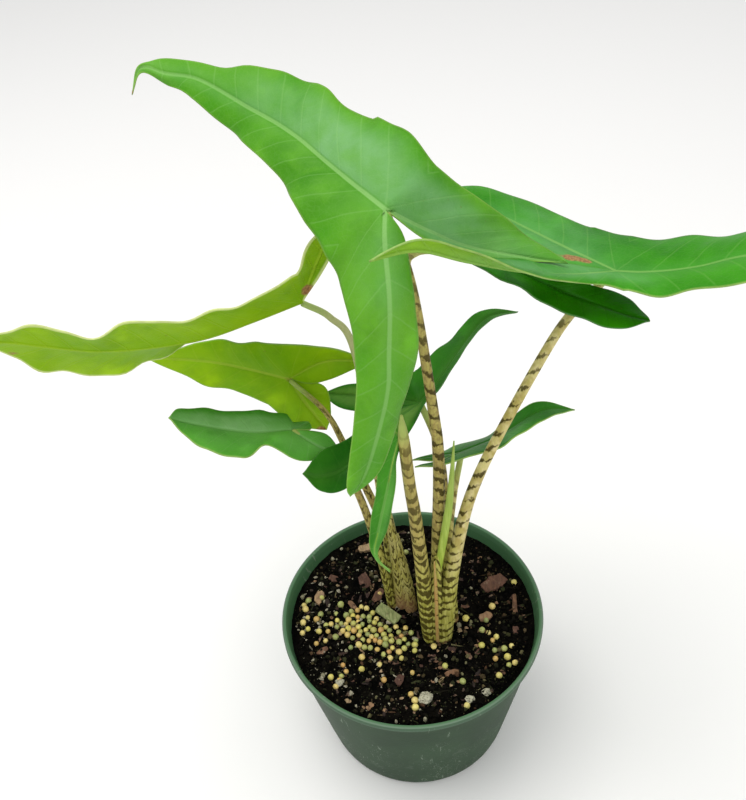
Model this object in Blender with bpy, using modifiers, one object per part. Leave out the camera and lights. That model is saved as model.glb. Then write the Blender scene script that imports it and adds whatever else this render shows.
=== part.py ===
"""Potted alocasia: a young zebra-stalked plant in a round nursery pot.

Metres, +Z up. The origin is the middle of the pot's underside. Points of the plant are given in
millimetres from the crown, the middle of the buried corms' top, so the plant follows the soil.
"""

import math

import bmesh
import bpy
from mathutils import Euler, Vector

# Driving dimensions, metres
POT_HEIGHT = 0.0755
RIM_RADIUS = 0.057
BASE_RADIUS = 0.0425
WALL = 0.0014
FLOOR = 0.0018
LIP_WIDTH = 0.0026
LIP_HEIGHT = 0.0038
DRAIN_HOLE_RADIUS = 0.0042
DRAIN_RING_RADIUS = 0.029
DRAIN_HOLES = 6
HEADSPACE = 0.0065
SOIL_DOME = 0.0012
CROWN_DEPTH = 0.004
BLADE_THICKNESS = 0.0009
CORM_HEIGHT = 0.012
PETIOLE_THICKNESS = 1.0
GAP = 0.0003

MM = 0.001
SOIL_TOP = POT_HEIGHT - HEADSPACE
CROWN = SOIL_TOP - CROWN_DEPTH
WALL_TOP_RADIUS = RIM_RADIUS - LIP_WIDTH

# Blades: rows of (vein, one margin, other margin) from the stalk's joint outwards. Each blade has a
# front part on its midrib and two back lobes on their own veins; the last row is the tip alone.
BLADES = {
    "leaf_front": {
        "color": (0.13, 0.42, 0.035),
        "front": [
            ((-1, -12, 213), (-19, -16, 202), (15, 0, 220)),
            ((-10, 0, 216), (-26, -4, 209), (1, 12, 228)),
            ((-24, 20, 221), (-36, 17, 215), (-15, 31, 230)),
            ((-40, 38, 225), (-47, 36, 219), (-33, 47, 233)),
            ((-56, 52, 230), (-60, 50, 226), (-53, 57, 233)),
            ((-73, 62, 233),),
        ],
        "lobes": [
            [
                ((-2, -20, 207), (-17, -18, 194), (4, -17, 205)),
                ((-2, -29, 194), (-15, -27, 186), (5, -25, 190)),
                ((-5, -37, 164), (-14, -35, 163), (-1, -33, 158)),
                ((-13, -40, 138), (-18, -39, 137), (-8, -39, 138)),
                ((-17, -41, 127),),
            ],
            [
                ((11, -10, 204), (28, 2, 206), (10, -12, 202)),
                ((26, -6, 194), (42, 4, 192), (25, -8, 192)),
                ((55, -3, 184),),
            ],
        ],
    },
    "leaf_right": {
        "color": (0.10, 0.36, 0.045),
        "front": [
            ((72, 2, 176), (83, 22, 176), (66, -8, 178)),
            ((82, 0, 176), (92, 20, 175), (78, -16, 177)),
            ((95, -4, 179), (104, 16, 177), (89, -18, 181)),
            ((108, -9, 185), (114, 8, 183), (102, -24, 185)),
            ((125, -16, 190), (132, -2, 188), (119, -28, 191)),
            ((150, -30, 186),),
        ],
        "lobes": [
            [
                ((60, 18, 176), (71, 32, 175), (57, 16, 176)),
                ((47, 36, 176), (56, 50, 175), (41, 28, 178)),
                ((31, 53, 178), (38, 62, 178), (28, 46, 181)),
                ((20, 66, 176),),
            ],
            [
                ((54, -8, 183), (51, -16, 186), (53, -2, 182)),
                ((37, -17, 192), (35, -26, 198), (36, -9, 190)),
                ((20, -25, 202), (19, -30, 209), (20, -17, 199)),
                ((6, -32, 211), (6, -35, 216), (5, -26, 209)),
                ((-7, -38, 213),),
            ],
        ],
    },
    "leaf_under_right": {
        "color": (0.02, 0.12, 0.015),
        "front": [
            ((20, 10, 184), (22, 18, 182), (18, 2, 188)),
            ((36, 9, 178), (41, 18, 177), (30, 0, 182)),
            ((53, 4, 170), (60, 6, 172), (47, -5, 172)),
            ((68, -1, 165), (76, 4, 163), (62, -9, 165)),
            ((83, -4, 161),),
        ],
        "lobes": [
            [
                ((15, 24, 181), (19, 28, 180), (14, 20, 182)),
                ((10, 36, 178),),
            ],
            [
                ((12, 4, 190), (11, -1, 192), (13, 8, 189)),
                ((4, 2, 190),),
            ],
        ],
    },
    "leaf_left": {
        "color": (0.24, 0.42, 0.025),
        "front": [
            ((-31, 28, 158), (-39, 12, 174), (-32, 44, 154)),
            ((-48, 25, 154), (-48, 10, 172), (-50, 43, 149)),
            ((-66, 20, 152), (-62, 8, 168), (-68, 38, 144)),
            ((-85, 14, 153), (-80, 4, 171), (-88, 27, 137)),
            ((-101, 8, 158), (-97, -1, 171), (-108, 18, 140)),
            ((-114, 3, 165), (-110, -4, 176), (-122, 11, 150)),
            ((-128, -4, 175),),
        ],
        "lobes": [
            [
                ((-27, 24, 170), (-30, 16, 177), (-24, 24, 169)),
                ((-21, 20, 184), (-25, 15, 189), (-18, 21, 181)),
                ((-13, 16, 197),),
            ],
            [
                ((-28, 44, 157), (-32, 48, 157), (-26, 42, 160)),
                ((-22, 62, 159),),
            ],
        ],
    },
    "leaf_low_left": {
        "color": (0.20, 0.36, 0.02),
        "front": [
            ((-41, 36, 116), (-51, 36, 104), (-43, 34, 135)),
            ((-56, 38, 121), (-63, 38, 110), (-54, 36, 135)),
            ((-72, 40, 125), (-78, 40, 116), (-68, 40, 135)),
            ((-96, 42, 128),),
        ],
        "lobes": [
            [
                ((-36, 33, 106), (-44, 32, 96), (-30, 33, 110)),
                ((-31, 30, 92),),
            ],
            [
                ((-26, 35, 124), (-24, 33, 132), (-28, 35, 117)),
                ((-8, 34, 123),),
            ],
        ],
    },
    "leaf_back": {
        "color": (0.04, 0.20, 0.03),
        "front": [
            ((9, 22, 110), (5, 34, 113), (11, 20, 112)),
            ((16, 29, 113), (13, 42, 114), (17, 24, 115)),
            ((29, 44, 120), (25, 52, 118), (31, 40, 121)),
            ((40, 57, 122), (38, 61, 123), (41, 54, 123)),
            ((55, 68, 116),),
        ],
        "lobes": [
            [
                ((-4, 32, 105), (-2, 38, 107), (-5, 26, 104)),
                ((-30, 44, 97),),
            ],
            [
                ((-3, 14, 108), (1, 8, 104), (-5, 22, 106)),
                ((-21, 3, 98), (-21, -4, 94), (-21, 10, 105)),
                ((-31, -2, 99), (-31, -6, 95), (-30, 4, 106)),
                ((-37, -4, 103),),
            ],
        ],
    },
    "leaf_narrow": {
        "color": (0.05, 0.22, 0.03),
        "front": [
            ((25, 20, 81), (23, 30, 76), (25, 12, 87)),
            ((41, 24, 84), (40, 32, 81), (41, 14, 93)),
            ((58, 30, 89), (57, 36, 90), (58, 23, 95)),
            ((74, 36, 87),),
        ],
        "lobes": [
            [
                ((17, 26, 77), (18, 31, 74), (15, 22, 78)),
                ((5, 26, 76),),
            ],
            [
                ((15, 12, 87), (14, 8, 89), (16, 16, 84)),
                ((5, 8, 90),),
            ],
        ],
    },
    "leaf_hanging": {
        "color": (0.06, 0.26, 0.035),
        "front": [
            ((-1, -15, 128), (-6, -14, 125), (0, -13, 125)),
            ((-4, -19, 120), (-9, -17, 117), (-3, -17, 118)),
            ((-7, -24, 111), (-11, -22, 107), (-4, -22, 110)),
            ((-11, -30, 98), (-14, -28, 96), (-8, -28, 96)),
            ((-13, -34, 89), (-14, -33, 90), (-12, -33, 89)),
            ((-8, -36, 82),),
        ],
        "lobes": [
            [
                ((-4, -12, 131), (-7, -12, 130), (-2, -11, 130)),
                ((-6, -8, 135),),
            ],
            [
                ((0, -10, 128), (1, -9, 126), (-1, -10, 128)),
                ((1, -6, 129),),
            ],
        ],
    },
    "leaf_dark_left": {
        "color": (0.03, 0.17, 0.03),
        "front": [
            ((-41, 15, 108), (-50, -2, 115), (-44, 27, 106)),
            ((-55, 10, 113), (-57, -8, 117), (-56, 22, 113)),
            ((-69, 6, 121), (-69, -8, 124), (-71, 17, 120)),
            ((-81, 2, 130),),
        ],
        "lobes": [
            [
                ((-31, 10, 103), (-38, 2, 104), (-29, 18, 102)),
                ((-22, 8, 99),),
            ],
            [
                ((-38, 21, 104), (-42, 24, 104), (-34, 19, 104)),
                ((-35, 27, 101),),
            ],
        ],
    },
}

# Stalks: thickness at the foot and at the blade, then the points of the way up from the corm
STALKS = {
    "petiole_front": (
        5.0,
        3.4,
        [(10, -9.5, 0), (11, -9.5, 28), (12.5, -9, 96), (11.5, -9, 130), (6, -9, 183), (1, -9, 208)],
    ),
    "petiole_right": (
        4.8,
        3.2,
        [(15, -14.5, 0), (17.5, -11, 48), (26, -5, 90), (36, 0, 113), (56, 9, 148), (68, 11.5, 162), (72, 8, 171)],
    ),
    "petiole_under_right": (
        3.6,
        2.4,
        [(7.5, -3, 0), (12, 2, 52), (14, 6, 100), (10, 8, 150), (5.5, 9, 178), (9, 10, 184.5), (18, 11, 183.5)],
    ),
    "petiole_left": (
        4.2,
        2.4,
        [(-5, 12.5, 0), (-8, 17, 38), (-10, 22, 80), (-14, 28, 137), (-22, 30.5, 150), (-30, 29, 156)],
    ),
    "petiole_low_left": (4.2, 2.4, [(-1.5, 6.5, 0), (-7, 9.5, 46), (-21, 20, 90), (-28, 26, 106), (-39, 32.5, 117)]),
    "petiole_back": (4.0, 2.6, [(13, 1, 0), (16, 11, 42), (17, 17, 72), (14.5, 19.5, 92), (10, 21, 107.5)]),
    "petiole_narrow": (3.8, 2.4, [(19, -4, 0), (19, 3, 47), (22, 11, 66), (24.5, 17.5, 79)]),
    "petiole_hanging": (5.2, 3.4, [(4.5, -16, 0), (4.5, -16, 56), (3, -16, 88), (1.5, -15, 112), (1, -13, 122)]),
    "petiole_dark_left": (3.8, 2.2, [(-7.5, 6.5, 0), (-12.5, 6, 48), (-22, 9, 90), (-39, 15, 104.5)]),
    "new_leaf_spear": (2.4, 1.2, [(11.5, -15, 38), (13, -14.5, 72), (16, -14, 97), (18, -12, 120)]),
}
BURIED = [name for name in STALKS if name != "new_leaf_spear"]

CORMS = {"corm_front": ((11, -8), 12.5), "corm_left": ((-5, 8.5), 7.4)}


def clear_scene():
    for obj in list(bpy.data.objects):
        bpy.data.objects.remove(obj, do_unlink=True)


def collection(name, hidden=False):
    made = bpy.data.collections.new(name)
    bpy.context.scene.collection.children.link(made)
    made.hide_render = hidden
    return made


def material(name, color, roughness, metallic=0.0):
    mat = bpy.data.materials.new(name)
    mat.use_nodes = True
    shader = mat.node_tree.nodes["Principled BSDF"]
    shader.inputs["Base Color"].default_value = (*color, 1.0)
    shader.inputs["Roughness"].default_value = roughness
    shader.inputs["Metallic"].default_value = metallic
    mat.diffuse_color = (*color, 1.0)
    return mat


def place(name, data, mat, home):
    obj = bpy.data.objects.new(name, data)
    obj.data.materials.append(mat)
    home.objects.link(obj)
    return obj


def mesh_from(bm, name):
    data = bpy.data.meshes.new(name)
    bm.to_mesh(data)
    bm.free()
    return data


def on_plant(point):
    """A point given in millimetres from the crown, in metres in the part's frame."""
    return Vector(point) * MM + Vector((0, 0, CROWN))


def soil_height(x, y):
    share = (x * x + y * y) / WALL_TOP_RADIUS**2
    return SOIL_TOP + SOIL_DOME * (1 - share)


def wall_radius(z):
    """Outer radius of the pot's tapered wall at height z."""
    return BASE_RADIUS + (WALL_TOP_RADIUS - BASE_RADIUS) * z / POT_HEIGHT


def smooth(points, count):
    """Catmull-Rom curve through the points, as count + 1 vectors spread evenly over the spans."""
    guides = [Vector(point) for point in points]
    first = guides[0] * 2 - guides[1]
    last = guides[-1] * 2 - guides[-2]
    guides = [first, *guides, last]
    spans = len(guides) - 3
    line = []
    for step in range(count + 1):
        place_along = step / count * spans
        span = min(int(place_along), spans - 1)
        t = place_along - span
        a, b, c, d = guides[span : span + 4]
        curve = b * 2 + (c - a) * t + (a * 2 - b * 5 + c * 4 - d) * t**2 + (b * 3 - a - c * 3 + d) * t**3
        line.append(curve / 2)
    return line


def turned(name, profile, mat, home, steps):
    """A closed turned solid from a profile that runs down its outer side, top to bottom."""
    bm = bmesh.new()
    verts = [bm.verts.new((radius, 0, z)) for radius, z in profile]
    for one, other in zip(verts, verts[1:]):
        bm.edges.new((one, other))
    obj = place(name, mesh_from(bm, name), mat, home)
    screw = obj.modifiers.new("Turn", "SCREW")
    screw.steps = steps
    screw.render_steps = steps
    screw.use_merge_vertices = True
    screw.merge_threshold = 0.00001
    screw.use_smooth_shade = True
    return obj


def cut(obj, cutter):
    boolean = obj.modifiers.new("Cut " + cutter.name, "BOOLEAN")
    boolean.operation = "DIFFERENCE"
    boolean.object = cutter
    boolean.solver = "EXACT"


def cylinder(name, radius, bottom, top, at, segments, mat, home):
    bm = bmesh.new()
    bmesh.ops.create_cone(
        bm, cap_ends=True, segments=segments, radius1=radius, radius2=radius, depth=top - bottom
    )
    bmesh.ops.translate(bm, verts=bm.verts, vec=(at[0], at[1], (top + bottom) / 2))
    return place(name, mesh_from(bm, name), mat, home)


def cutter(name, radius, bottom, top, at, segments, home):
    guide = bpy.data.materials.get("cutter") or material("cutter", (1, 0, 0), 1)
    obj = cylinder(name, radius, bottom, top, at, segments, guide, home)
    obj.hide_render = True
    obj.display_type = "WIRE"
    return obj


def build_pot(home, tools):
    plastic = material("green_pot_plastic", (0.028, 0.095, 0.052), 0.55)
    top = POT_HEIGHT
    inner_rim = WALL_TOP_RADIUS - WALL
    lip_round = WALL / 2
    profile = [
        (0, FLOOR),
        (wall_radius(FLOOR) - WALL, FLOOR),
        (inner_rim, top - lip_round),
        (inner_rim + lip_round, top),
        (RIM_RADIUS - lip_round, top),
        (RIM_RADIUS, top - lip_round),
        (RIM_RADIUS, top - LIP_HEIGHT),
        (RIM_RADIUS - WALL, top - LIP_HEIGHT),
        (wall_radius(top - LIP_HEIGHT), top - LIP_HEIGHT),
        (wall_radius(FLOOR), FLOOR),
        (BASE_RADIUS - FLOOR / 2, 0),
        (0, 0),
    ]
    pot = turned("pot", profile, plastic, home, 56)
    for number in range(DRAIN_HOLES):
        angle = 2 * math.pi * (number + 0.5) / DRAIN_HOLES
        at = (DRAIN_RING_RADIUS * math.cos(angle), DRAIN_RING_RADIUS * math.sin(angle))
        hole = cutter(f"drain_cutter_{number}", DRAIN_HOLE_RADIUS, -FLOOR, 2 * FLOOR, at, 16, tools)
        cut(pot, hole)


def build_soil(home, tools):
    mix = material("potting_mix", (0.018, 0.013, 0.010), 0.95)
    low = FLOOR + GAP
    low_radius = wall_radius(low) - WALL - GAP
    top_radius = wall_radius(SOIL_TOP) - WALL - GAP
    rings = 4
    profile = []
    for ring in range(rings + 1):
        radius = top_radius * ring / rings
        profile.append((radius, soil_height(radius, 0)))
    profile.extend([(low_radius, low), (0, low)])
    soil = turned("potting_soil", profile, mix, home, 40)
    for name, ((x, y), radius) in CORMS.items():
        at = (x * MM, y * MM)
        bottom = CROWN - CORM_HEIGHT - GAP
        cut(soil, cutter(f"{name}_cutter", radius * MM + GAP, bottom, CROWN + GAP, at, 24, tools))
    for name in BURIED:
        foot, _, way = STALKS[name]
        radius = foot * PETIOLE_THICKNESS * MM / 2
        at = (way[0][0] * MM, way[0][1] * MM)
        cut(soil, cutter(f"{name}_cutter", radius + 2 * GAP, CROWN, POT_HEIGHT, at, 16, tools))


def build_corms(home):
    skin = material("corm_skin", (0.09, 0.055, 0.03), 0.85)
    for name, ((x, y), radius) in CORMS.items():
        at = (x * MM, y * MM)
        cylinder(name, radius * MM, CROWN - CORM_HEIGHT, CROWN, at, 24, skin, home)


def build_stalks(home):
    striped = material("striped_stalk", (0.42, 0.34, 0.16), 0.5)
    fresh = material("spear_green", (0.35, 0.55, 0.10), 0.45)
    steps_per_guide = 4
    for name, (foot, head, way) in STALKS.items():
        points = smooth([on_plant(point) for point in way], steps_per_guide * (len(way) - 1))
        if name in BURIED:
            foot_point = on_plant(way[0])
            points[0] = foot_point + Vector((0, 0, GAP))
            points[1] = foot_point + Vector((0, 0, CROWN_DEPTH + SOIL_DOME + GAP))
        data = bpy.data.curves.new(name, "CURVE")
        data.dimensions = "3D"
        data.bevel_depth = MM / 2
        data.bevel_resolution = 2
        data.use_fill_caps = True
        spline = data.splines.new("POLY")
        spline.points.add(len(points) - 1)
        for number, point in enumerate(points):
            share = number / (len(points) - 1)
            spline.points[number].co = (*point, 1)
            spline.points[number].radius = (foot + (head - foot) * share**0.7) * PETIOLE_THICKNESS
        place(name, data, fresh if name == "new_leaf_spear" else striped, home)


def strip(bm, spine, margin, columns):
    """Quads between two lines of the same length; rows that meet in a point become triangles."""
    rows = []
    for inner, outer in zip(spine, margin):
        row = [bm.verts.new(inner.lerp(outer, column / columns)) for column in range(columns + 1)]
        rows.append(row)
    for low, high in zip(rows, rows[1:]):
        for column in range(columns):
            bm.faces.new((low[column], low[column + 1], high[column + 1], high[column]))


def build_blade(name, blade, home):
    front_rows = 2 * (len(blade["front"]) - 1)
    columns = 3
    bm = bmesh.new()
    front = [[on_plant(point) for point in row] for row in blade["front"]]
    joint = front[0][0]
    tip = front[-1][0]
    midrib = smooth([row[0] for row in front], front_rows)
    for side, lobe in enumerate(blade["lobes"], start=1):
        rows = [[on_plant(point) for point in row] for row in lobe]
        lobe_rows = 2 * len(rows)
        end = rows[-1][0]
        margin = [end, *[row[1] for row in reversed(rows[:-1])], *[row[side] for row in front[:-1]], tip]
        outline = smooth(margin, lobe_rows + front_rows)
        strip(bm, midrib, outline[lobe_rows:], columns)
        vein = smooth([joint, *[row[0] for row in rows]], lobe_rows)
        strip(bm, vein, outline[lobe_rows::-1], columns)
        sinus = smooth([joint, *[row[2] for row in rows[:-1]], end], lobe_rows)
        strip(bm, vein, sinus, columns - 1)
    bmesh.ops.remove_doubles(bm, verts=bm.verts, dist=0.00001)
    bmesh.ops.recalc_face_normals(bm, faces=bm.faces)
    obj = place(name, mesh_from(bm, name), material(name + "_green", blade["color"], 0.38), home)
    shell = obj.modifiers.new("Thickness", "SOLIDIFY")
    shell.thickness = BLADE_THICKNESS
    shell.offset = 0
    for polygon in obj.data.polygons:
        polygon.use_smooth = True


# Loose pieces on the soil: size (x, y, z), middle (x, y), turn in degrees, all in mm. The middles
# are for a wall of LAID_OUT_RADIUS at its top, and draw in or spread out with the pot.
LAID_OUT_RADIUS = 0.0544
SPREAD = WALL_TOP_RADIUS / LAID_OUT_RADIUS
BARK = {
    "bark_chip_red": ((13, 6, 2.4), (38, 14), 20),
    "bark_sliver": ((2.2, 10, 1.4), (46, 2), -8),
    "bark_chip_orange": ((6, 4, 1.6), (32, -4), 15),
    "bark_chip_rust": ((5, 7, 1.8), (-20, 21), 25),
    "bark_chip_tan": ((4, 7, 1.6), (-41, 14), -20),
    "bark_block": ((6, 4, 2.4), (-19, 40), 10),
    "leaf_scrap": ((5, 10, 0.9), (-12, -3), 50),
}
PERLITE = {
    "perlite_left": (3.6, (-33, -30)),
    "perlite_front": (4.2, (2, -41)),
    "perlite_right": (3.4, (20, -43)),
    "perlite_far_right": (3.4, (27, -40)),
}
PRILL_SIZE = 3.2
PRILLS = [(-25, 0), (-18, -13), (-32, -12), (-7, -19), (-36, -1), (-23, -23), (40, -22), (27, -16)]


def lay(obj, middle, lift):
    """Puts a loose piece at its middle, its own middle lift metres above the soil."""
    x, y = (value * MM * SPREAD for value in middle)
    obj.location = (x, y, soil_height(x, y) + GAP + lift)


def build_loose_pieces(home):
    bark = material("bark", (0.16, 0.06, 0.03), 0.9)
    scrap = material("leaf_scrap_green", (0.16, 0.22, 0.07), 0.8)
    for name, (size, middle, turn) in BARK.items():
        bm = bmesh.new()
        bmesh.ops.create_cube(bm, size=1)
        bmesh.ops.scale(bm, verts=bm.verts, vec=Vector(size) * MM)
        thin = min(size) * MM
        bmesh.ops.bevel(bm, geom=list(bm.edges), offset=thin / 4, segments=1, affect="EDGES")
        obj = place(name, mesh_from(bm, name), scrap if name == "leaf_scrap" else bark, home)
        reach = max(size) * MM / 2
        slope = 2 * SOIL_DOME * math.hypot(*middle) * MM * SPREAD / WALL_TOP_RADIUS**2
        lay(obj, middle, reach * slope + size[2] * MM / 2)
        obj.rotation_euler = Euler((0, 0, math.radians(turn)))
    white = material("perlite_white", (0.75, 0.74, 0.70), 0.9)
    for name, (size, middle) in PERLITE.items():
        bm = bmesh.new()
        bmesh.ops.create_icosphere(bm, subdivisions=2, radius=size * MM / 2)
        for vert in bm.verts:
            vert.co *= 1 + 0.12 * math.sin(vert.co.x * 4000 + vert.co.y * 2500) * math.cos(vert.co.z * 3000)
        obj = place(name, mesh_from(bm, name), white, home)
        lay(obj, middle, size * MM * 0.56)
    coat = material("prill_coat", (0.62, 0.50, 0.13), 0.45)
    for number, middle in enumerate(PRILLS, start=1):
        bm = bmesh.new()
        bmesh.ops.create_uvsphere(bm, u_segments=10, v_segments=7, radius=PRILL_SIZE * MM / 2)
        obj = place(f"fertiliser_prill_{number}", mesh_from(bm, "prill"), coat, home)
        lay(obj, middle, PRILL_SIZE * MM / 2)


def main():
    clear_scene()
    home = collection("potted_alocasia")
    tools = collection("cutters", hidden=True)
    build_pot(home, tools)
    build_soil(home, tools)
    build_corms(home)
    build_stalks(home)
    for name, blade in BLADES.items():
        build_blade(name, blade, home)
    build_loose_pieces(home)


main()
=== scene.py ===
import math

import bpy
import numpy as np
from mathutils import Matrix, Quaternion, Vector, noise


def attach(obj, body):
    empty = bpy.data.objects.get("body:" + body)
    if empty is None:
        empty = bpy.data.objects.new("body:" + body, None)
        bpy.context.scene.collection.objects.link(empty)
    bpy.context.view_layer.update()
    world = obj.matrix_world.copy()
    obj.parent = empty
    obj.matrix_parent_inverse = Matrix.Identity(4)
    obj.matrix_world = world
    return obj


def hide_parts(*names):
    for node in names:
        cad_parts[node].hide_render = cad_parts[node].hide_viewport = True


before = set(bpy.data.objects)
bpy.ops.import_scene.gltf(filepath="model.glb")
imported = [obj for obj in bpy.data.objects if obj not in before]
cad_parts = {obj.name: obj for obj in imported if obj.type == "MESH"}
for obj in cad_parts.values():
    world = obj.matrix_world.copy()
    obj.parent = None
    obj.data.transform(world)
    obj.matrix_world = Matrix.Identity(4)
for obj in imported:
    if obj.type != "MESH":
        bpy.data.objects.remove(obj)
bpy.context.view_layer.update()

mm = 0.001
crownHeight = 65.0  # mm; guide points of the plant are measured from the top of the buried corms


def deselectAll():
    if bpy.context.mode != "OBJECT":
        bpy.ops.object.mode_set(mode="OBJECT")
    bpy.ops.object.select_all(action="DESELECT")


def pick(piece):  # makes one piece the only selected and active one
    deselectAll()
    piece.select_set(True)
    bpy.context.view_layer.objects.active = piece


def editAll(piece):  # into edit mode with everything selected
    pick(piece)
    bpy.ops.object.mode_set(mode="EDIT")
    bpy.ops.mesh.select_all(action="SELECT")


def added(operator, name, **values):  # the new object that an add operator makes
    deselectAll()
    operator(**values)
    bpy.context.object.name = name
    return bpy.context.object


def applyModifier(piece, kind, name, **values):
    pick(piece)
    modifier = piece.modifiers.new(name, kind)
    for key, value in values.items():
        setattr(modifier, key, value)
    bpy.ops.object.modifier_apply(modifier=modifier.name)


def smoothBy(piece, degrees):  # smooth shading, but for edges sharper than this
    pick(piece)
    bpy.ops.object.shade_smooth_by_angle(angle=math.radians(degrees))


def smoothAll(piece):
    piece.data.polygons.foreach_set("use_smooth", [True] * len(piece.data.polygons))


# finish, body and the CAD nodes a piece stands for
def joinFrame(piece, slot, nodes, *materials):
    piece.data.materials.clear()
    for material in materials:
        piece.data.materials.append(material)
    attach(piece, "root")
    if nodes:
        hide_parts(*nodes)


def nodeOf(name):  # petioleFront stands for the node petiole_front
    return "".join("_" + letter.lower() if letter.isupper() else letter for letter in name)


def meshPiece(name, points, faces):
    data = bpy.data.meshes.new(name)
    data.from_pydata([tuple(point) for point in points], [], faces)
    data.update()
    piece = bpy.data.objects.new(name, data)
    bpy.context.scene.collection.objects.link(piece)
    return piece


def storeValues(piece, name, values):  # one number for each vertex, read by the materials
    layer = piece.data.attributes.new(name, "FLOAT", "POINT")
    layer.data.foreach_set("value", np.asarray(values, dtype=np.float32))


def getPoints(piece):
    points = np.empty(len(piece.data.vertices) * 3, dtype=np.float32)
    piece.data.vertices.foreach_get("co", points)
    return points.reshape(-1, 3).astype(float)


def setPoints(piece, points):
    piece.data.vertices.foreach_set("co", np.asarray(points, dtype=np.float32).ravel())
    piece.data.update()


def onPlant(point):  # mm from the crown to metres in the frame
    return Vector((point[0], point[1], point[2] + crownHeight)) * mm


def smoothLine(points, steps):  # a smooth curve through the points, steps for each span
    guides = [Vector(point) for point in points]
    guides = [guides[0] * 2 - guides[1], *guides, guides[-1] * 2 - guides[-2]]
    line = []
    for span in range(len(guides) - 3):
        a, b, c, d = guides[span : span + 4]
        last = span == len(guides) - 4
        for step in range(steps + (1 if last else 0)):
            t = step / steps
            bend = (a * 2 - b * 5 + c * 4 - d) * t**2 + (b * 3 - a - c * 3 + d) * t**3
            line.append((b * 2 + (c - a) * t + bend) / 2)
    return line


def smoothNumbers(values, steps):
    return [vector.x for vector in smoothLine([(value, 0, 0) for value in values], steps)]


def runAlong(line):  # mm from the start of a line to each of its points
    runs = [0.0]
    for one, other in zip(line, line[1:]):
        runs.append(runs[-1] + (other - one).length / mm)
    return runs


def scaled(color, share):
    return tuple(value * share for value in color)


# one output socket of a material, with sums written as plain expressions
class Wire:
    def __init__(self, paint, socket):
        self.paint = paint
        self.socket = socket

    def maths(self, operation, one, other=None):
        sockets = {0: one} if other is None else {0: one, 1: other}
        return self.paint.node("ShaderNodeMath", {"operation": operation}, sockets)

    def __add__(self, other):
        return self.maths("ADD", self, other)

    def __radd__(self, other):
        return self.maths("ADD", other, self)

    def __sub__(self, other):
        return self.maths("SUBTRACT", self, other)

    def __rsub__(self, other):
        return self.maths("SUBTRACT", other, self)

    def __mul__(self, other):
        return self.maths("MULTIPLY", self, other)

    def __rmul__(self, other):
        return self.maths("MULTIPLY", other, self)

    def __truediv__(self, other):
        return self.maths("DIVIDE", self, other)

    def fract(self):
        return self.maths("FRACT", self)

    def absolute(self):
        return self.maths("ABSOLUTE", self)

    def ease(self, low, high, start=0.0, end=1.0):  # smooth step; low may be above high
        if low > high:
            low, high, start, end = high, low, end, start
        settings = {"interpolation_type": "SMOOTHSTEP"}
        sockets = {"Value": self, "From Min": low, "From Max": high, "To Min": start, "To Max": end}
        return self.paint.node("ShaderNodeMapRange", settings, sockets)


class Paint:
    def __init__(self, name):
        self.material = bpy.data.materials.new(name)
        self.material.use_nodes = True
        self.tree = self.material.node_tree
        self.shader = self.tree.nodes["Principled BSDF"]

    def node(self, kind, settings=None, sockets=None, output=0):
        made = self.tree.nodes.new(kind)
        for key, value in (settings or {}).items():
            if key == "stops":
                while len(made.color_ramp.elements) < len(value):
                    made.color_ramp.elements.new(0.5)
                for element, (place, color) in zip(made.color_ramp.elements, value):
                    element.position = place
                    element.color = (*color, 1)
            else:
                setattr(made, key, value)
        for key, value in (sockets or {}).items():
            self.plug(made.inputs[key], value)
        return Wire(self, made.outputs[output])

    def plug(self, socket, value):
        if isinstance(value, Wire):
            self.tree.links.new(value.socket, socket)
        elif isinstance(value, tuple) and len(value) == 3 and socket.type == "RGBA":
            socket.default_value = (*value, 1)
        else:
            socket.default_value = value

    def finish(self, **values):  # shader sockets by name, with _ for a space
        for key, value in values.items():
            self.plug(self.shader.inputs[key.replace("_", " ")], value)
        return self.material

    def place(self):
        return self.node("ShaderNodeTexCoord", output="Object")

    def attribute(self, name):
        return self.node("ShaderNodeAttribute", {"attribute_name": name}, output="Fac")

    def uv(self):  # the share of the way round a stalk, and mm from its foot
        both = self.node("ShaderNodeUVMap", {"uv_map": "bandMap"})
        split = self.tree.nodes.new("ShaderNodeSeparateXYZ")
        self.plug(split.inputs[0], both)
        return Wire(self, split.outputs["X"]), Wire(self, split.outputs["Y"])

    def noise(self, scale, detail=3.0, roughness=0.55, distortion=0.0, vector=None):
        sockets = {"Vector": vector or self.place(), "Scale": scale, "Detail": detail}
        sockets.update({"Roughness": roughness, "Distortion": distortion})
        return self.node("ShaderNodeTexNoise", {}, sockets)

    def cells(self, scale, feature="F1"):
        sockets = {"Vector": self.place(), "Scale": scale}
        return self.node("ShaderNodeTexVoronoi", {"feature": feature}, sockets, "Distance")

    def stretched(self, scale, turn=(0.0, 0.0, 0.0)):  # object place, scaled by axis and turned
        sockets = {"Vector": self.place(), "Rotation": turn, "Scale": scale}
        return self.node("ShaderNodeMapping", {}, sockets)

    def mix(self, factor, one, other):
        settings = {"data_type": "RGBA", "blend_type": "MIX", "clamp_factor": True}
        return self.node("ShaderNodeMix", settings, {0: factor, 6: one, 7: other}, 2)

    def ramp(self, factor, stops):
        return self.node("ShaderNodeValToRGB", {"stops": stops}, {"Fac": factor})

    def bump(self, height, distance, strength=1.0):
        sockets = {"Height": height, "Distance": distance, "Strength": strength}
        return self.node("ShaderNodeBump", {}, sockets)


viewSetup = {
    "place": (-0.009, -0.239, 0.403),
    "downTilt": 40.7,  # degrees
    "roll": -4.9,
    "lens": 40.5,
    "sensor": 36.0,
    "clipStart": 0.01,
}


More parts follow.
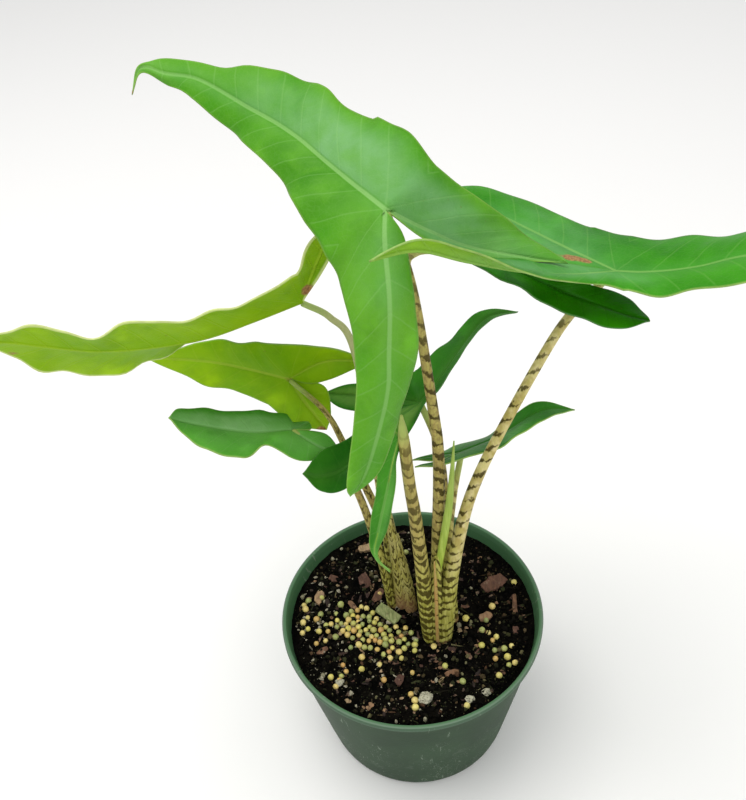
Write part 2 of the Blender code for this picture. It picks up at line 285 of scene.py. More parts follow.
def buildView():
    tilt = math.radians(viewSetup["downTilt"])
    roll = math.radians(viewSetup["roll"])
    forward = Vector((0, math.cos(tilt), -math.sin(tilt)))
    right = Vector((1, 0, 0))
    up = Vector((0, math.sin(tilt), math.cos(tilt)))
    rolledRight = right * math.cos(roll) + up * math.sin(roll)
    rolledUp = up * math.cos(roll) - right * math.sin(roll)
    camera = added(bpy.ops.object.camera_add, "frontView", location=viewSetup["place"])
    turn = Matrix((rolledRight, rolledUp, -forward)).transposed()
    camera.rotation_euler = turn.to_euler()
    camera.data.lens = viewSetup["lens"]
    camera.data.sensor_width = viewSetup["sensor"]
    camera.data.sensor_fit = "AUTO"
    camera.data.clip_start = viewSetup["clipStart"]
    bpy.context.scene.camera = camera


lightSetup = {
    "skyColor": (1.0, 1.0, 1.0),
    "skyStrength": 0.66,
    "lights": [  # name, place, size, power, color
        ("keyLight", (-0.30, 0.05, 1.35), 1.0, 9.5, (1.0, 0.985, 0.95)),
        ("frontLight", (0.35, -0.95, 0.75), 0.9, 2.6, (1.0, 0.99, 0.97)),
    ],
    "aim": (0.0, 0.0, 0.15),
    "floorColor": (0.97, 0.97, 0.965),
    "floorSize": 6.0,
}


def buildLight():
    world = bpy.data.worlds.new("softSky")
    bpy.context.scene.world = world
    world.use_nodes = True
    sky = world.node_tree.nodes["Background"]
    sky.inputs["Color"].default_value = (*lightSetup["skyColor"], 1)
    sky.inputs["Strength"].default_value = lightSetup["skyStrength"]
    for name, at, size, power, color in lightSetup["lights"]:
        light = added(bpy.ops.object.light_add, name, type="AREA", location=at)
        light.data.shape = "DISK"
        light.data.size = size
        light.data.energy = power
        light.data.color = color
        aim = Vector(lightSetup["aim"]) - Vector(at)
        light.rotation_euler = aim.to_track_quat("-Z", "Y").to_euler()
    bpy.context.scene.view_settings.view_transform = "Standard"
    floor = added(bpy.ops.mesh.primitive_plane_add, "floor", size=lightSetup["floorSize"])
    paint = Paint("paleFloor")
    floor.data.materials.append(paint.finish(Base_Color=lightSetup["floorColor"], Roughness=0.9))


buildView()
buildLight()
print("view and light are set")


potShape = {
    "segments": 160,
    # radius and height in mm, from the underside up the outer wall, over the lip and down inside
    "profile": [
        (37.6, 0.0), (39.6, 0.0), (40.9, 0.35), (41.8, 1.1), (42.4, 2.4), (43.0, 4.6), (44.6, 13.0),
        (46.6, 24.0), (48.6, 35.0), (50.6, 46.0), (52.6, 57.5), (54.3, 67.2), (55.1, 72.0), (55.3, 72.5),
        (55.7, 72.7), (56.4, 72.75), (56.8, 72.95), (57.0, 73.4), (57.0, 74.8), (56.85, 75.25),
        (56.5, 75.5), (55.9, 75.5), (55.3, 75.3), (55.0, 74.8), (54.75, 73.8), (54.2, 71.0), (52.0, 60.0),
        (47.4, 35.0), (42.6, 8.0), (41.2, 2.8), (40.4, 2.0), (39.0, 1.8),
    ],
    "outerRows": 18,  # how many rows of the profile are the outer wall
    "wall": 0.7,  # mm; what lies this far inside the outer wall is the inner one
    "baseTop": 1.0,
    "smoothAngle": 32,
    "holes": 6,
    "holeSides": 32,
    "holeRadius": 4.2,
    "holeRing": 29.0,
    "holeDepth": 8.0,
    "plastic": (0.013, 0.040, 0.014),
    "plasticLight": (0.026, 0.062, 0.026),
    "dust": (0.26, 0.32, 0.25),
    # painted light: the inner wall is given a lighter colour, as where light falls into the pot
    "insidePaintedLight": (0.075, 0.19, 0.085),
    # painted highlights on the lip's step and on the top of the rim
    "lip": (0.080, 0.145, 0.088),
    "rimTopHighlight": (0.19, 0.28, 0.20),
}


# a disc extruded and scaled along a profile; both ends stay closed
def turnedPiece(name, profile, segments):
    radius, height = profile[0]
    disc = {"vertices": segments, "radius": radius * mm, "fill_type": "NGON"}
    piece = added(bpy.ops.mesh.primitive_circle_add, name, **disc)
    editAll(piece)
    bpy.ops.transform.translate(value=(0, 0, height * mm))
    for nextRadius, nextHeight in profile[1:]:
        lift = (0, 0, (nextHeight - height) * mm)
        bpy.ops.mesh.extrude_region_move(TRANSFORM_OT_translate={"value": lift})
        share = nextRadius / radius
        bpy.ops.transform.resize(value=(share, share, 1), center_override=(0, 0, 0))
        radius, height = nextRadius, nextHeight
    bpy.ops.mesh.select_all(action="SELECT")
    bpy.ops.mesh.normals_make_consistent(inside=False)
    bpy.ops.object.mode_set(mode="OBJECT")
    return piece


def potPlastic():
    paint = Paint("greenPotPlastic")
    height = paint.node("ShaderNodeSeparateXYZ", {}, {0: paint.place()}, "Z") * 1000  # mm
    cloud = paint.noise(38, 4, 0.6)
    speck = paint.noise(900, 2, 0.6)
    scratchNoise = paint.noise(1.0, 4, 0.7, 0.6, paint.stretched((420, 420, 60), (0.9, 0.5, 0.4)))
    scratch = scratchNoise.ease(0.61, 0.68) * cloud.ease(0.44, 0.60)
    low = height.ease(62, 30)
    rub = paint.noise(140, 5, 0.7).ease(0.56, 0.78) * low
    chalk = paint.noise(1300, 3, 0.7).ease(0.60, 0.68) * paint.noise(60, 3).ease(0.44, 0.60) * low
    base = paint.mix(cloud.ease(0.3, 0.7), potShape["plastic"], potShape["plasticLight"])
    # painted highlights: a lighter band on the outward step of the lip and on the top of the rim
    base = paint.mix(height.ease(72.4, 73.2) * 0.8, base, potShape["lip"])
    base = paint.mix(height.ease(75.1, 75.45) * 0.7, base, potShape["rimTopHighlight"])
    # painted light: the inner wall is lighter than the outer one, as if lit
    base = paint.mix(paint.attribute("inside") * 0.75, base, potShape["insidePaintedLight"])
    base = paint.mix(scratch * 0.75 + rub * 0.2 + chalk, base, potShape["dust"])
    rough = 0.46 + cloud * 0.12 + scratch * 0.2
    relief = paint.bump(speck * 0.5 + paint.noise(260, 3) * 0.5 + scratch * 0.6, 0.00016, 0.55)
    return paint.finish(Base_Color=base, Roughness=rough, Normal=relief, Specular_IOR_Level=0.15)


def buildPot():
    pot = turnedPiece("nurseryPot", potShape["profile"], potShape["segments"])
    ring, radius = potShape["holeRing"] * mm, potShape["holeRadius"] * mm
    tool = {"vertices": potShape["holeSides"], "radius": radius, "depth": potShape["holeDepth"] * mm}
    for number in range(potShape["holes"]):
        angle = 2 * math.pi * (number + 0.5) / potShape["holes"]
        at = (ring * math.cos(angle), ring * math.sin(angle), mm)
        punch = added(bpy.ops.mesh.primitive_cylinder_add, "punch", location=at, **tool)
        applyModifier(pot, "BOOLEAN", "drainHole", object=punch, solver="EXACT", operation="DIFFERENCE")
        bpy.data.objects.remove(punch, do_unlink=True)
    radii, heights = zip(*potShape["profile"][: potShape["outerRows"]])
    x, y, z = (getPoints(pot) / mm).T
    inside = np.hypot(x, y) < np.interp(z, heights, radii) - potShape["wall"]
    storeValues(pot, "inside", inside & (z > potShape["baseTop"]))
    smoothBy(pot, potShape["smoothAngle"])
    joinFrame(pot, "pot_plastic", ["pot"], potPlastic())


buildPot()
print("pot done")


soilShape = {
    "segments": 240,
    "below": [(39.6, 2.1), (41.6, 6.0), (46.6, 35.0), (51.6, 61.0)],  # radius and height under the top, mm
    "ringStep": 0.62,
    "ringLeast": 1.2,
    "level": 69.0,  # mm at the wall
    "dome": 1.2,
    "wallRadius": 53.6,
    "lump": 0.9,
    "lumpScale": 0.09,
    "grain": 0.75,
    "grainScale": 0.42,
    "grainMiddle": 0.6,
    "smoothAngle": 60,
    "crumbs": 5600,
    "crumbShapes": 9,
    "crumbReach": 51.6,
    "crumbSizes": (0.35, 2.3),
    "crumbSkew": 3.2,  # how much commoner the small ones are
    "fibreShare": 0.14,  # crumbs drawn out into fibres
    "fibreStretch": (3.4, 0.42, 0.42),
    "seed": 11,
    "black": (0.0008, 0.0008, 0.0007),
    "brown": (0.006, 0.005, 0.0035),
    "fleck": (0.09, 0.075, 0.045),
    "moss": (0.07, 0.085, 0.035),
    "crumbDust": (0.01, 0.008, 0.006),
    "crumbTones": [
        (0.0, (0.0012, 0.0012, 0.001)),
        (0.55, (0.004, 0.0035, 0.003)),
        (0.72, (0.012, 0.011, 0.007)),
        (0.81, (0.055, 0.062, 0.026)),
        (0.90, (0.12, 0.062, 0.036)),
        (0.95, (0.22, 0.21, 0.10)),
        (0.985, (0.50, 0.46, 0.34)),
    ],
}


def soilLevel(x, y):  # mm, the height of the mix at a place
    share = (x * x + y * y) / soilShape["wallRadius"] ** 2
    coarse, close = soilShape["lumpScale"], soilShape["grainScale"]
    lump = noise.fractal(Vector((x * coarse, y * coarse, 3.1)), 1.0, 2.0, 3)
    grain = noise.turbulence(Vector((x * close, y * close, 7.7)), 3, True) - soilShape["grainMiddle"]
    height = soilShape["level"] + soilShape["dome"] * (1 - share)
    return height + soilShape["lump"] * lump + soilShape["grain"] * grain


def soilMaterial():
    paint = Paint("pottingMix")
    big = paint.noise(210, 4, 0.65)
    fine = paint.noise(1300, 4, 0.7)
    fleck = paint.cells(520).ease(0.32, 0.12)
    base = paint.mix(big.ease(0.35, 0.7), soilShape["black"], soilShape["brown"])
    base = paint.mix(fleck * fine.ease(0.55, 0.70) * 0.8, base, soilShape["fleck"])
    moss = paint.cells(760).ease(0.26, 0.12) * paint.noise(60, 3).ease(0.50, 0.62)
    base = paint.mix(moss * 0.7, base, soilShape["moss"])
    relief = paint.bump(fine * 0.6 + big * 0.8 + paint.cells(800) * 0.5, 0.0011, 0.9)
    return paint.finish(Base_Color=base, Roughness=0.95, Normal=relief, Specular_IOR_Level=0.05)


def crumbMaterial():
    paint = Paint("mixCrumbs")
    tones = paint.ramp(paint.attribute("tone"), soilShape["crumbTones"])
    base = paint.mix(paint.noise(1500, 3).ease(0.3, 0.7) * 0.5, tones, soilShape["crumbDust"])
    relief = paint.bump(paint.noise(2400, 3), 0.0003, 0.8)
    return paint.finish(Base_Color=base, Roughness=0.95, Normal=relief, Specular_IOR_Level=0.06)


def ballShape(subdivisions):  # the points and faces of a small ball, 1 across
    values = {"subdivisions": subdivisions, "radius": 0.5}
    seed = added(bpy.ops.mesh.primitive_ico_sphere_add, "seed", **values)
    points = getPoints(seed)
    faces = [tuple(face.vertices) for face in seed.data.polygons]
    bpy.data.objects.remove(seed, do_unlink=True)
    return points, faces


def scattered(name, seeds, places, smooth):  # many placed copies of small shapes in one piece
    points, faces, tones = [], [], []
    count = 0
    for which, at, turn, size, tone in places:
        shape, shapeFaces = seeds[which]
        rotation = np.array(turn.to_matrix())
        points.append((shape * np.array(size)) @ rotation.T * mm + np.array(at) * mm)
        faces.extend(tuple(corner + count for corner in face) for face in shapeFaces)
        tones.extend([tone] * len(shape))
        count += len(shape)
    piece = meshPiece(name, np.concatenate(points), faces)
    storeValues(piece, "tone", tones)
    if smooth:
        smoothAll(piece)
    return piece


def spotInRound(draw, reach):  # a place anywhere on a disc
    angle, far = draw.random() * 2 * math.pi, math.sqrt(draw.random()) * reach
    return far * math.cos(angle), far * math.sin(angle)


def roughened(points, amount, draw):  # each point moved in or out a little
    factors = 1 + amount * (draw.random(len(points)) - 0.5)
    return points * factors[:, None]


def randomTurn(draw):
    angles = draw.random(3) * 2 * math.pi
    first = Matrix.Rotation(angles[0], 3, "X").to_quaternion()
    return first @ Quaternion((0, 0, 1), angles[1]) @ Quaternion((1, 0, 0), angles[2])


def buildSoil():
    profile = list(soilShape["below"])
    radius = soilShape["wallRadius"]
    while radius > soilShape["ringLeast"]:
        profile.append((radius, soilShape["level"]))
        radius -= soilShape["ringStep"]
    soil = turnedPiece("pottingMix", profile, soilShape["segments"])
    points = getPoints(soil)
    for point in points:
        if point[2] > (soilShape["level"] - 0.5) * mm:
            point[2] = soilLevel(point[0] / mm, point[1] / mm) * mm
    setPoints(soil, points)
    smoothBy(soil, soilShape["smoothAngle"])
    joinFrame(soil, "potting_mix", ["potting_soil"], soilMaterial())


def buildCrumbs():
    draw = np.random.default_rng(soilShape["seed"])
    points, faces = ballShape(1)
    seeds = [(roughened(points, 0.7, draw), faces) for _ in range(soilShape["crumbShapes"])]
    small, large = soilShape["crumbSizes"]
    places = []
    for _ in range(soilShape["crumbs"]):
        x, y = spotInRound(draw, soilShape["crumbReach"])
        size = small + (large - small) * draw.random() ** soilShape["crumbSkew"]
        shape = size * (0.7 + 0.6 * draw.random(3))
        if draw.random() < soilShape["fibreShare"]:
            shape = shape * np.array(soilShape["fibreStretch"])
        z = soilLevel(x, y) + size * (0.1 + 0.25 * draw.random())
        tone = draw.random() ** 0.8 * (1.02 - 0.09 * x / 50)  # a little darker to the right
        which = int(draw.integers(soilShape["crumbShapes"]))
        places.append((which, (x, y, z), randomTurn(draw), shape, tone))
    crumbs = scattered("mixCrumbs", seeds, places, False)
    joinFrame(crumbs, "potting_mix", [], crumbMaterial())


buildSoil()
buildCrumbs()
print("potting mix done")


looseShape = {
    "prillSize": 2.75,
    "prillReach": 49.5,
    "prillGap": 0.47,  # least share of two sizes between their middles
    "prillGroups": [  # middle (mm), spread (mm), turn (degrees), how many
        ((-24, -2), (7.0, 5.5), -30, 38),
        ((-14, -10), (10.5, 6.0), -22, 46),
        ((-40, -4), (6.0, 11.0), 20, 10),
        ((-8, -15), (6.0, 4.0), 0, 7),
        ((37, -20), (7.0, 12.0), 25, 12),
        ((-33, -26), (6.0, 5.0), 0, 7),
        ((-47, 6), (3.0, 14.0), 0, 6),
        ((0, -2), (46, 44), 0, 30),
    ],
    "perlite": {
        "perliteLeft": (3.4, (-33, -30)),
        "perliteFront": (5.2, (2, -41)),
        "perliteRight": (3.4, (20, -43)),
        "perliteFarRight": (3.4, (27, -40)),
    },
    "scrap": ((5, 11, 1.3), (-10.4, 0.4), 50, 8),
    "chips": [  # size, middle, turn, tilt (degrees), tone, node it stands for
        ((13, 6, 2.2), (38, 14), 20, 6, 0.30, "bark_chip_red"),
        ((2.2, 10, 1.4), (46, 2), -8, 4, 0.42, "bark_sliver"),
        ((6, 4, 1.6), (32, -4), 15, 8, 0.60, "bark_chip_orange"),
        ((5, 7, 1.8), (-20, 21), 25, 10, 0.24, "bark_chip_rust"),
        ((4, 7, 1.6), (-41, 14), -20, 6, 0.72, "bark_chip_tan"),
        ((6, 4, 2.4), (-19, 40), 10, 5, 0.80, "bark_block"),
        ((7, 3.4, 1.4), (-14, 12), 60, 9, 0.34, ""),
        ((5, 3, 1.2), (-34, 24), -30, 12, 0.30, ""),
        ((6, 2.6, 1.2), (14, -30), 12, 8, 0.46, ""),
        ((5, 3.2, 1.3), (-8, -32), 70, 10, 0.18, ""),
        ((4.5, 2.8, 1.2), (24, 30), 40, 12, 0.66, ""),
        ((6.5, 2.4, 1.1), (-26, 8), -60, 14, 0.50, ""),
        ((4, 2.6, 1.2), (44, -12), 80, 10, 0.26, ""),
        ((5, 2.4, 1.0), (-40, -14), 30, 12, 0.38, ""),
    ],
    "chipAngle": 35,
    "perliteAngle": 40,
    "flakes": 210,
    "flakeShapes": 8,
    "flakeReach": 50.0,
    "seed": 23,
    "prillDust": (0.30, 0.24, 0.10),
    "prillSpeck": (0.05, 0.035, 0.02),
    "prillTones": [
        (0.0, (0.30, 0.38, 0.12)),
        (0.25, (0.52, 0.56, 0.17)),
        (0.45, (0.80, 0.71, 0.15)),
        (0.65, (0.92, 0.78, 0.28)),
        (0.85, (0.82, 0.58, 0.17)),
        (1.0, (0.64, 0.34, 0.11)),
    ],
    "perliteColors": [(0.24, 0.22, 0.14), (0.50, 0.48, 0.36)],
    "barkPale": (0.46, 0.30, 0.20),
    "barkGrain": (0.030, 0.015, 0.010),
    "barkTones": [
        (0.0, (0.018, 0.010, 0.007)),
        (0.25, (0.13, 0.055, 0.035)),
        (0.45, (0.24, 0.12, 0.060)),
        (0.65, (0.42, 0.25, 0.13)),
        (0.85, (0.50, 0.36, 0.20)),
    ],
    "scrapColors": [(0.20, 0.25, 0.085), (0.42, 0.45, 0.20), (0.10, 0.085, 0.035)],
}


def prillMaterial():
    paint = Paint("prillCoat")
    tones = paint.ramp(paint.attribute("tone"), looseShape["prillTones"])
    cloud = paint.noise(700, 3)
    base = paint.mix(cloud.ease(0.35, 0.75) * 0.5, tones, looseShape["prillDust"])
    base = paint.mix(paint.noise(2100, 2).ease(0.62, 0.74) * 0.6, base, looseShape["prillSpeck"])
    relief = paint.bump(cloud, 0.0003, 0.4)
    return paint.finish(Base_Color=base, Roughness=0.42, Normal=relief)


def perliteMaterial():
    paint = Paint("perliteWhite")
    pits = paint.cells(1400).ease(0.1, 0.5)
    base = paint.mix(pits, *looseShape["perliteColors"])
    relief = paint.bump(pits + paint.noise(900, 4) * 0.6, 0.0005, 0.8)
    return paint.finish(Base_Color=base, Roughness=0.9, Normal=relief)


def barkMaterial():
    paint = Paint("barkFlakes")
    tones = paint.ramp(paint.attribute("tone"), looseShape["barkTones"])
    grain = paint.noise(1.0, 4, 0.65, 0.5, paint.stretched((900, 260, 700), (0.2, 0.1, 0.5)))
    pale = paint.noise(230, 3).ease(0.52, 0.66)
    base = paint.mix(pale * 0.5, tones, looseShape["barkPale"])
    base = paint.mix(grain.ease(0.35, 0.7) * 0.6, base, looseShape["barkGrain"])
    relief = paint.bump(grain, 0.0007, 0.8)
    return paint.finish(Base_Color=base, Roughness=0.82, Normal=relief)


def scrapMaterial():
    paint = Paint("driedStalkScrap")
    fibre = paint.noise(1.0, 3, 0.6, 0.3, paint.stretched((1500, 300, 900), (0, 0, 0.7)))
    dark, light, stain = looseShape["scrapColors"]
    base = paint.mix(fibre.ease(0.3, 0.7), dark, light)
    base = paint.mix(paint.noise(420, 3).ease(0.55, 0.75) * 0.6, base, stain)
    return paint.finish(Base_Color=base, Roughness=0.7, Normal=paint.bump(fibre, 0.0004, 0.7))


# a flat flake with its corners drawn in and its edges broken
def flakePiece(name, size, middle, turn, tilt, draw, lift=0.0, ragged=1.0):
    flake = added(bpy.ops.mesh.primitive_cube_add, name, size=1)
    editAll(flake)
    bpy.ops.mesh.subdivide(number_cuts=3)
    bpy.ops.object.mode_set(mode="OBJECT")
    points = getPoints(flake)
    plan = np.abs(points[:, :2])
    corner = np.maximum(plan.max(axis=1), 1e-6) / np.maximum(np.hypot(plan[:, 0], plan[:, 1]), 1e-6)
    points[:, :2] *= (1 - 0.65 * ragged * (1 - corner))[:, None]
    for point in points:
        at = Vector((point[0] * 1.4, point[1] * 1.4, draw.random() * 0.1 + middle[0]))
        for axis, shift in ((0, (0, 0, 0)), (1, (5, 1, 2))):
            wave = noise.noise(at * 2.3 + Vector(shift))
            point[axis] += ragged * (0.22 * wave + 0.05 * (draw.random() - 0.5))
        thin = 1 - 0.75 * ragged * max(abs(point[0]), abs(point[1])) ** 2
        point[2] = point[2] * thin + 0.35 * noise.noise(at * 1.7 + Vector((1, 8, 4)))
    x, y = middle
    spin = Matrix.Rotation(math.radians(turn), 3, "Z") @ Matrix.Rotation(math.radians(tilt), 3, "X")
    place = np.array((x, y, soilLevel(x, y) + size[2] * 0.35 + lift))
    setPoints(flake, (points * np.array(size) @ np.array(spin).T + place) * mm)
    smoothBy(flake, looseShape["chipAngle"])
    return flake


def buildPrills(draw):
    places, taken = [], []
    for middle, spread, turn, count in looseShape["prillGroups"]:
        spin = math.radians(turn)
        made = 0
        for _ in range(count * 30):  # far more tries than are needed
            along, across = draw.normal(0, 0.5) * spread[0], draw.normal(0, 0.5) * spread[1]
            x = middle[0] + along * math.cos(spin) - across * math.sin(spin)
            y = middle[1] + along * math.sin(spin) + across * math.cos(spin)
            size = looseShape["prillSize"] * (0.78 + 0.32 * draw.random())
            tone = draw.random()
            gap = looseShape["prillGap"]
            clear = all(math.hypot(x - a, y - b) > (size + c) * gap for a, b, c in taken)
            if math.hypot(x, y) > looseShape["prillReach"] or not clear or made == count:
                continue
            made += 1
            taken.append((x, y, size))
            z = soilLevel(x, y) + size * (0.16 + 0.22 * draw.random())
            shape = size * (0.94 + 0.12 * draw.random(3))
            places.append((0, (x, y, z), randomTurn(draw), shape, tone))
    prills = scattered("fertiliserPrills", [ballShape(3)], places, True)
    nodes = [f"fertiliser_prill_{number}" for number in range(1, 9)]
    joinFrame(prills, "prill_coat", nodes, prillMaterial())


def buildPerlite():
    perlite = perliteMaterial()
    ball, faces = ballShape(3)
    for name, (size, (x, y)) in looseShape["perlite"].items():
        points = ball.copy()
        for point in points:
            spot = Vector(point) * 2.6 + Vector((x, y, 0))
            point *= 1 + 0.42 * noise.noise(spot) + 0.16 * noise.noise(spot * 2.7)
        place = np.array((x, y, soilLevel(x, y) + size * 0.22))
        piece = meshPiece(name, (points * size * np.array((1.1, 0.95, 0.8)) + place) * mm, faces)
        smoothBy(piece, looseShape["perliteAngle"])
        joinFrame(piece, "perlite", [nodeOf(name)], perlite)


def buildBark(draw):
    bark = barkMaterial()
    for number, (size, middle, turn, tilt, tone, node) in enumerate(looseShape["chips"], start=1):
        chip = flakePiece(f"barkChip{number}", size, middle, turn, tilt, draw)
        storeValues(chip, "tone", [tone] * len(chip.data.vertices))
        joinFrame(chip, "bark", [node] if node else [], bark)
    scrap = flakePiece("stalkScrap", *looseShape["scrap"], draw, lift=1.6, ragged=0.12)
    joinFrame(scrap, "leaf_scrap", ["leaf_scrap"], scrapMaterial())

    points, faces = ballShape(2)
    seeds = [(roughened(points, 0.8, draw), faces) for _ in range(looseShape["flakeShapes"])]
    places = []
    for _ in range(looseShape["flakes"]):
        x, y = spotInRound(draw, looseShape["flakeReach"])
        long = 1.2 + 3.2 * draw.random() ** 2
        size = np.array((long, 0.8 + 1.4 * draw.random(), 0.35 + 0.5 * draw.random()))
        turn = Quaternion((0, 0, 1), draw.random() * math.pi)
        turn = turn @ Quaternion((1, 0, 0), draw.normal(0, 0.25))
        which = int(draw.integers(looseShape["flakeShapes"]))
        places.append((which, (x, y, soilLevel(x, y) + 0.35), turn, size, draw.random() ** 2.2))
    flakes = scattered("barkFlakes", seeds, places, False)
    joinFrame(flakes, "bark", [], bark)


looseDraw = np.random.default_rng(looseShape["seed"])
buildPrills(looseDraw)
buildPerlite()
buildBark(looseDraw)
print("loose pieces done")


stalkShape = {  # kind of skin, where its bands start, widths in mm along the way, and the way up
    "petioleFront": ("blotched", 0.0, [4.8, 4.9, 4.9, 4.8, 4.5, 4.2, 3.8, 3.0, 2.4], [
        (10.2, -9.2, 0), (10.6, -9.4, 30), (10.8, -9.5, 44), (11.2, -9.8, 60), (12.5, -9.6, 96),
        (12.5, -9.4, 115), (11.4, -9.2, 131), (6, -9, 183), (-0.6, -11.4, 211.6),
    ]),
    "petioleRight": ("pale", 1.7, [6.4, 7.4, 7.3, 6.0, 5.0, 4.3, 3.8, 3.4, 3.0, 2.6], [
        (12.2, -12.8, -2), (13.2, -11.9, 11), (14.7, -11.2, 29), (16.7, -11.4, 48), (20.3, -11.2, 73),
        (25.8, -8, 93), (36.1, -3, 115.5), (56.5, 9, 148), (68, 11.5, 162), (72, 4, 174.5),
    ]),
    "petioleUnderRight": ("pale", 4.0, [3.6, 3.4, 3.0, 2.8, 2.6, 2.5, 2.4], [
        (7.5, -3, 0), (12, 2, 52), (14, 6, 100), (10, 8, 150), (5.5, 9, 178), (9, 10, 184.5),
        (19, 10.4, 184),
    ]),
    "petioleLeft": ("plain", 6.1, [4.6, 4.0, 3.4, 2.8, 2.5, 2.3], [
        (-5, 12.5, 0), (-8, 17, 38), (-10, 22, 80), (-14.5, 28, 134), (-22, 30.5, 147.5),
        (-31, 27.5, 156.8),
    ]),
    "petioleLowLeft": ("speckled", 2.2, [5.0, 4.0, 2.8, 2.2, 1.8], [
        (-1.5, 6.5, 0), (-7, 9.5, 46), (-21, 20, 90), (-28, 26, 106), (-40.6, 35, 116),
    ]),
    "petioleBack": ("blotched", 5.0, [4.4, 3.8, 3.2, 2.8, 2.6], [
        (13, 1, 0), (16, 11, 42), (17, 17, 72), (14.5, 19.5, 92), (9.2, 21.8, 109.5),
    ]),
    "petioleNarrow": ("pale", 3.0, [4.2, 3.4, 2.9, 2.4], [
        (18.4, -4, 0), (17.4, 3, 47), (20, 11, 66), (24.4, 19.5, 82),
    ]),
    "petioleHanging": ("tawny", 0.6, [6.2, 7.0, 6.8, 5.6, 4.8, 4.4, 3.9, 0.9], [
        (7.9, -12.6, -2), (6.8, -11.9, 12), (5.7, -12.2, 32), (4.6, -13.8, 56), (2.8, -15.6, 88),
        (1.5, -16, 104), (0.3, -15.6, 127), (0, -15, 137.5),
    ]),
    "petioleDarkLeft": ("speckled", 3.3, [4.6, 3.6, 2.8, 2.2], [
        (-7.5, 6.5, 0), (-12.5, 6, 48), (-22, 9, 90), (-40.4, 15, 107.4),
    ]),
}

sheathShape = {  # wraps round the feet of the stalks: the same, with how flat they are
    "sheathLeftOuter": ("squiggle", 1.3, 0.9, [6.9, 7.0, 6.4, 5.3, 4.1, 3.0, 1.4], [
        (-3.4, 6.8, -1), (-3.6, 6.8, 10), (-4.1, 7, 22), (-4.8, 7.6, 36), (-5.8, 8.4, 50), (-6.9, 9.2, 64),
        (-8, 10.2, 77),
    ]),
    "sheathLeftInner": ("squiggle", 2.9, 0.9, [5.4, 5.4, 4.8, 3.6, 1.6], [
        (0.2, 3.8, -1), (-0.2, 3.8, 10), (-1.2, 4.8, 24), (-2.6, 6, 38), (-3.9, 7.2, 52),
    ]),
    "sheathMiddle": ("sheath", 0.4, 0.9, [6.4, 6.2, 5.4, 4.2, 2.2], [
        (9.9, -12.9, -2), (9.9, -12.8, 12), (9.9, -12.8, 30), (10.2, -13, 46), (10.8, -12.6, 60),
    ]),
    "sheathSeam": ("dry", 0.0, 0.7, [1.4, 1.5, 1.5, 1.2, 0.4], [
        (9.8, -15.5, 2), (9.7, -15.6, 19), (9.7, -15.6, 35), (9.6, -15.9, 49), (9.4, -15.8, 61),
    ]),
}


# a closed tube along a way, with a map of the share round it and the mm along it
def tubePiece(name, way, widths, sides, steps, flatten=1.0):
    line = [onPlant(point) for point in smoothLine(way, steps)]
    radii = [width * mm / 2 for width in smoothNumbers(widths, steps)]
    points, faces, along = [], [], runAlong(line)
    side = Vector((1, 0, 0))
    for number, (middle, radius) in enumerate(zip(line, radii)):
        ahead = (line[min(number + 1, len(line) - 1)] - line[max(number - 1, 0)]).normalized()
        side = (side - ahead * side.dot(ahead)).normalized()
        front = ahead.cross(side)
        for corner in range(sides):
            angle = 2 * math.pi * corner / sides
            points.append(middle + (side * math.cos(angle) + front * math.sin(angle) * flatten) * radius)
    last = (len(line) - 1) * sides
    for low in range(0, last, sides):
        for corner in range(sides):
            after, high = (corner + 1) % sides, low + sides
            faces.append((low + corner, low + after, high + after, high + corner))
    foot, head = len(points), len(points) + 1
    points.extend([line[0], line[-1] + (line[-1] - line[-2]).normalized() * radii[-1] * 0.5])
    for corner in range(sides):
        after = (corner + 1) % sides
        faces.append((foot, after, corner))
        faces.append((head, last + corner, last + after))
    piece = meshPiece(name, points, faces)
    layer = piece.data.uv_layers.new(name="bandMap")
    for face in piece.data.polygons:
        wraps = any(vertex % sides == sides - 1 for vertex in face.vertices)  # back to the first column
        for loop, vertex in zip(face.loop_indices, face.vertices):
            ring, corner = divmod(vertex, sides)
            if vertex >= foot:
                layer.data[loop].uv = (0.5, 0.0 if vertex == foot else along[-1])
            else:
                layer.data[loop].uv = (1.0 if wraps and corner == 0 else corner / sides, along[ring])
    smoothAll(piece)
    return piece


stalkLook = {
    "cream": (0.70, 0.60, 0.29),
    "tan": (0.44, 0.35, 0.105),
    "olive": (0.25, 0.25, 0.022),
    "oliveLight": (0.55, 0.54, 0.13),
    "band": (0.054, 0.040, 0.004),
    "dry": (0.50, 0.27, 0.09),
    "dryFoot": (0.33, 0.175, 0.09),
    "tawny": (0.32, 0.255, 0.070),
    "nearBlade": (0.36, 0.50, 0.13),
    "plainTop": (0.45, 0.48, 0.23),
    "blotch": (0.20, 0.14, 0.055),
    "steps": 14,  # for each span of the way
    "noBlade": 1000.0,  # mm; a sheath's bands don't fade at its top
    "pitch": 4.3,  # mm between bands at the foot
    "kinds": {  # teeth round the stalk, how deep they are, wobble, band width
        "dry": (1.0, 0.2, 1.0, 0.05),
        "plain": (1.0, 0.4, 1.2, 0.40),
        "pale": (1.0, 0.75, 1.1, 0.52),
        "tawny": (1.0, 0.70, 1.5, 0.60),
        "blotched": (1.0, 0.60, 1.5, 0.64),
        "speckled": (4.0, 0.6, 2.4, 0.50),
        "sheath": (2.0, 0.95, 1.0, 0.56),
        "squiggle": (5.0, 0.9, 3.2, 0.46),
    },
}


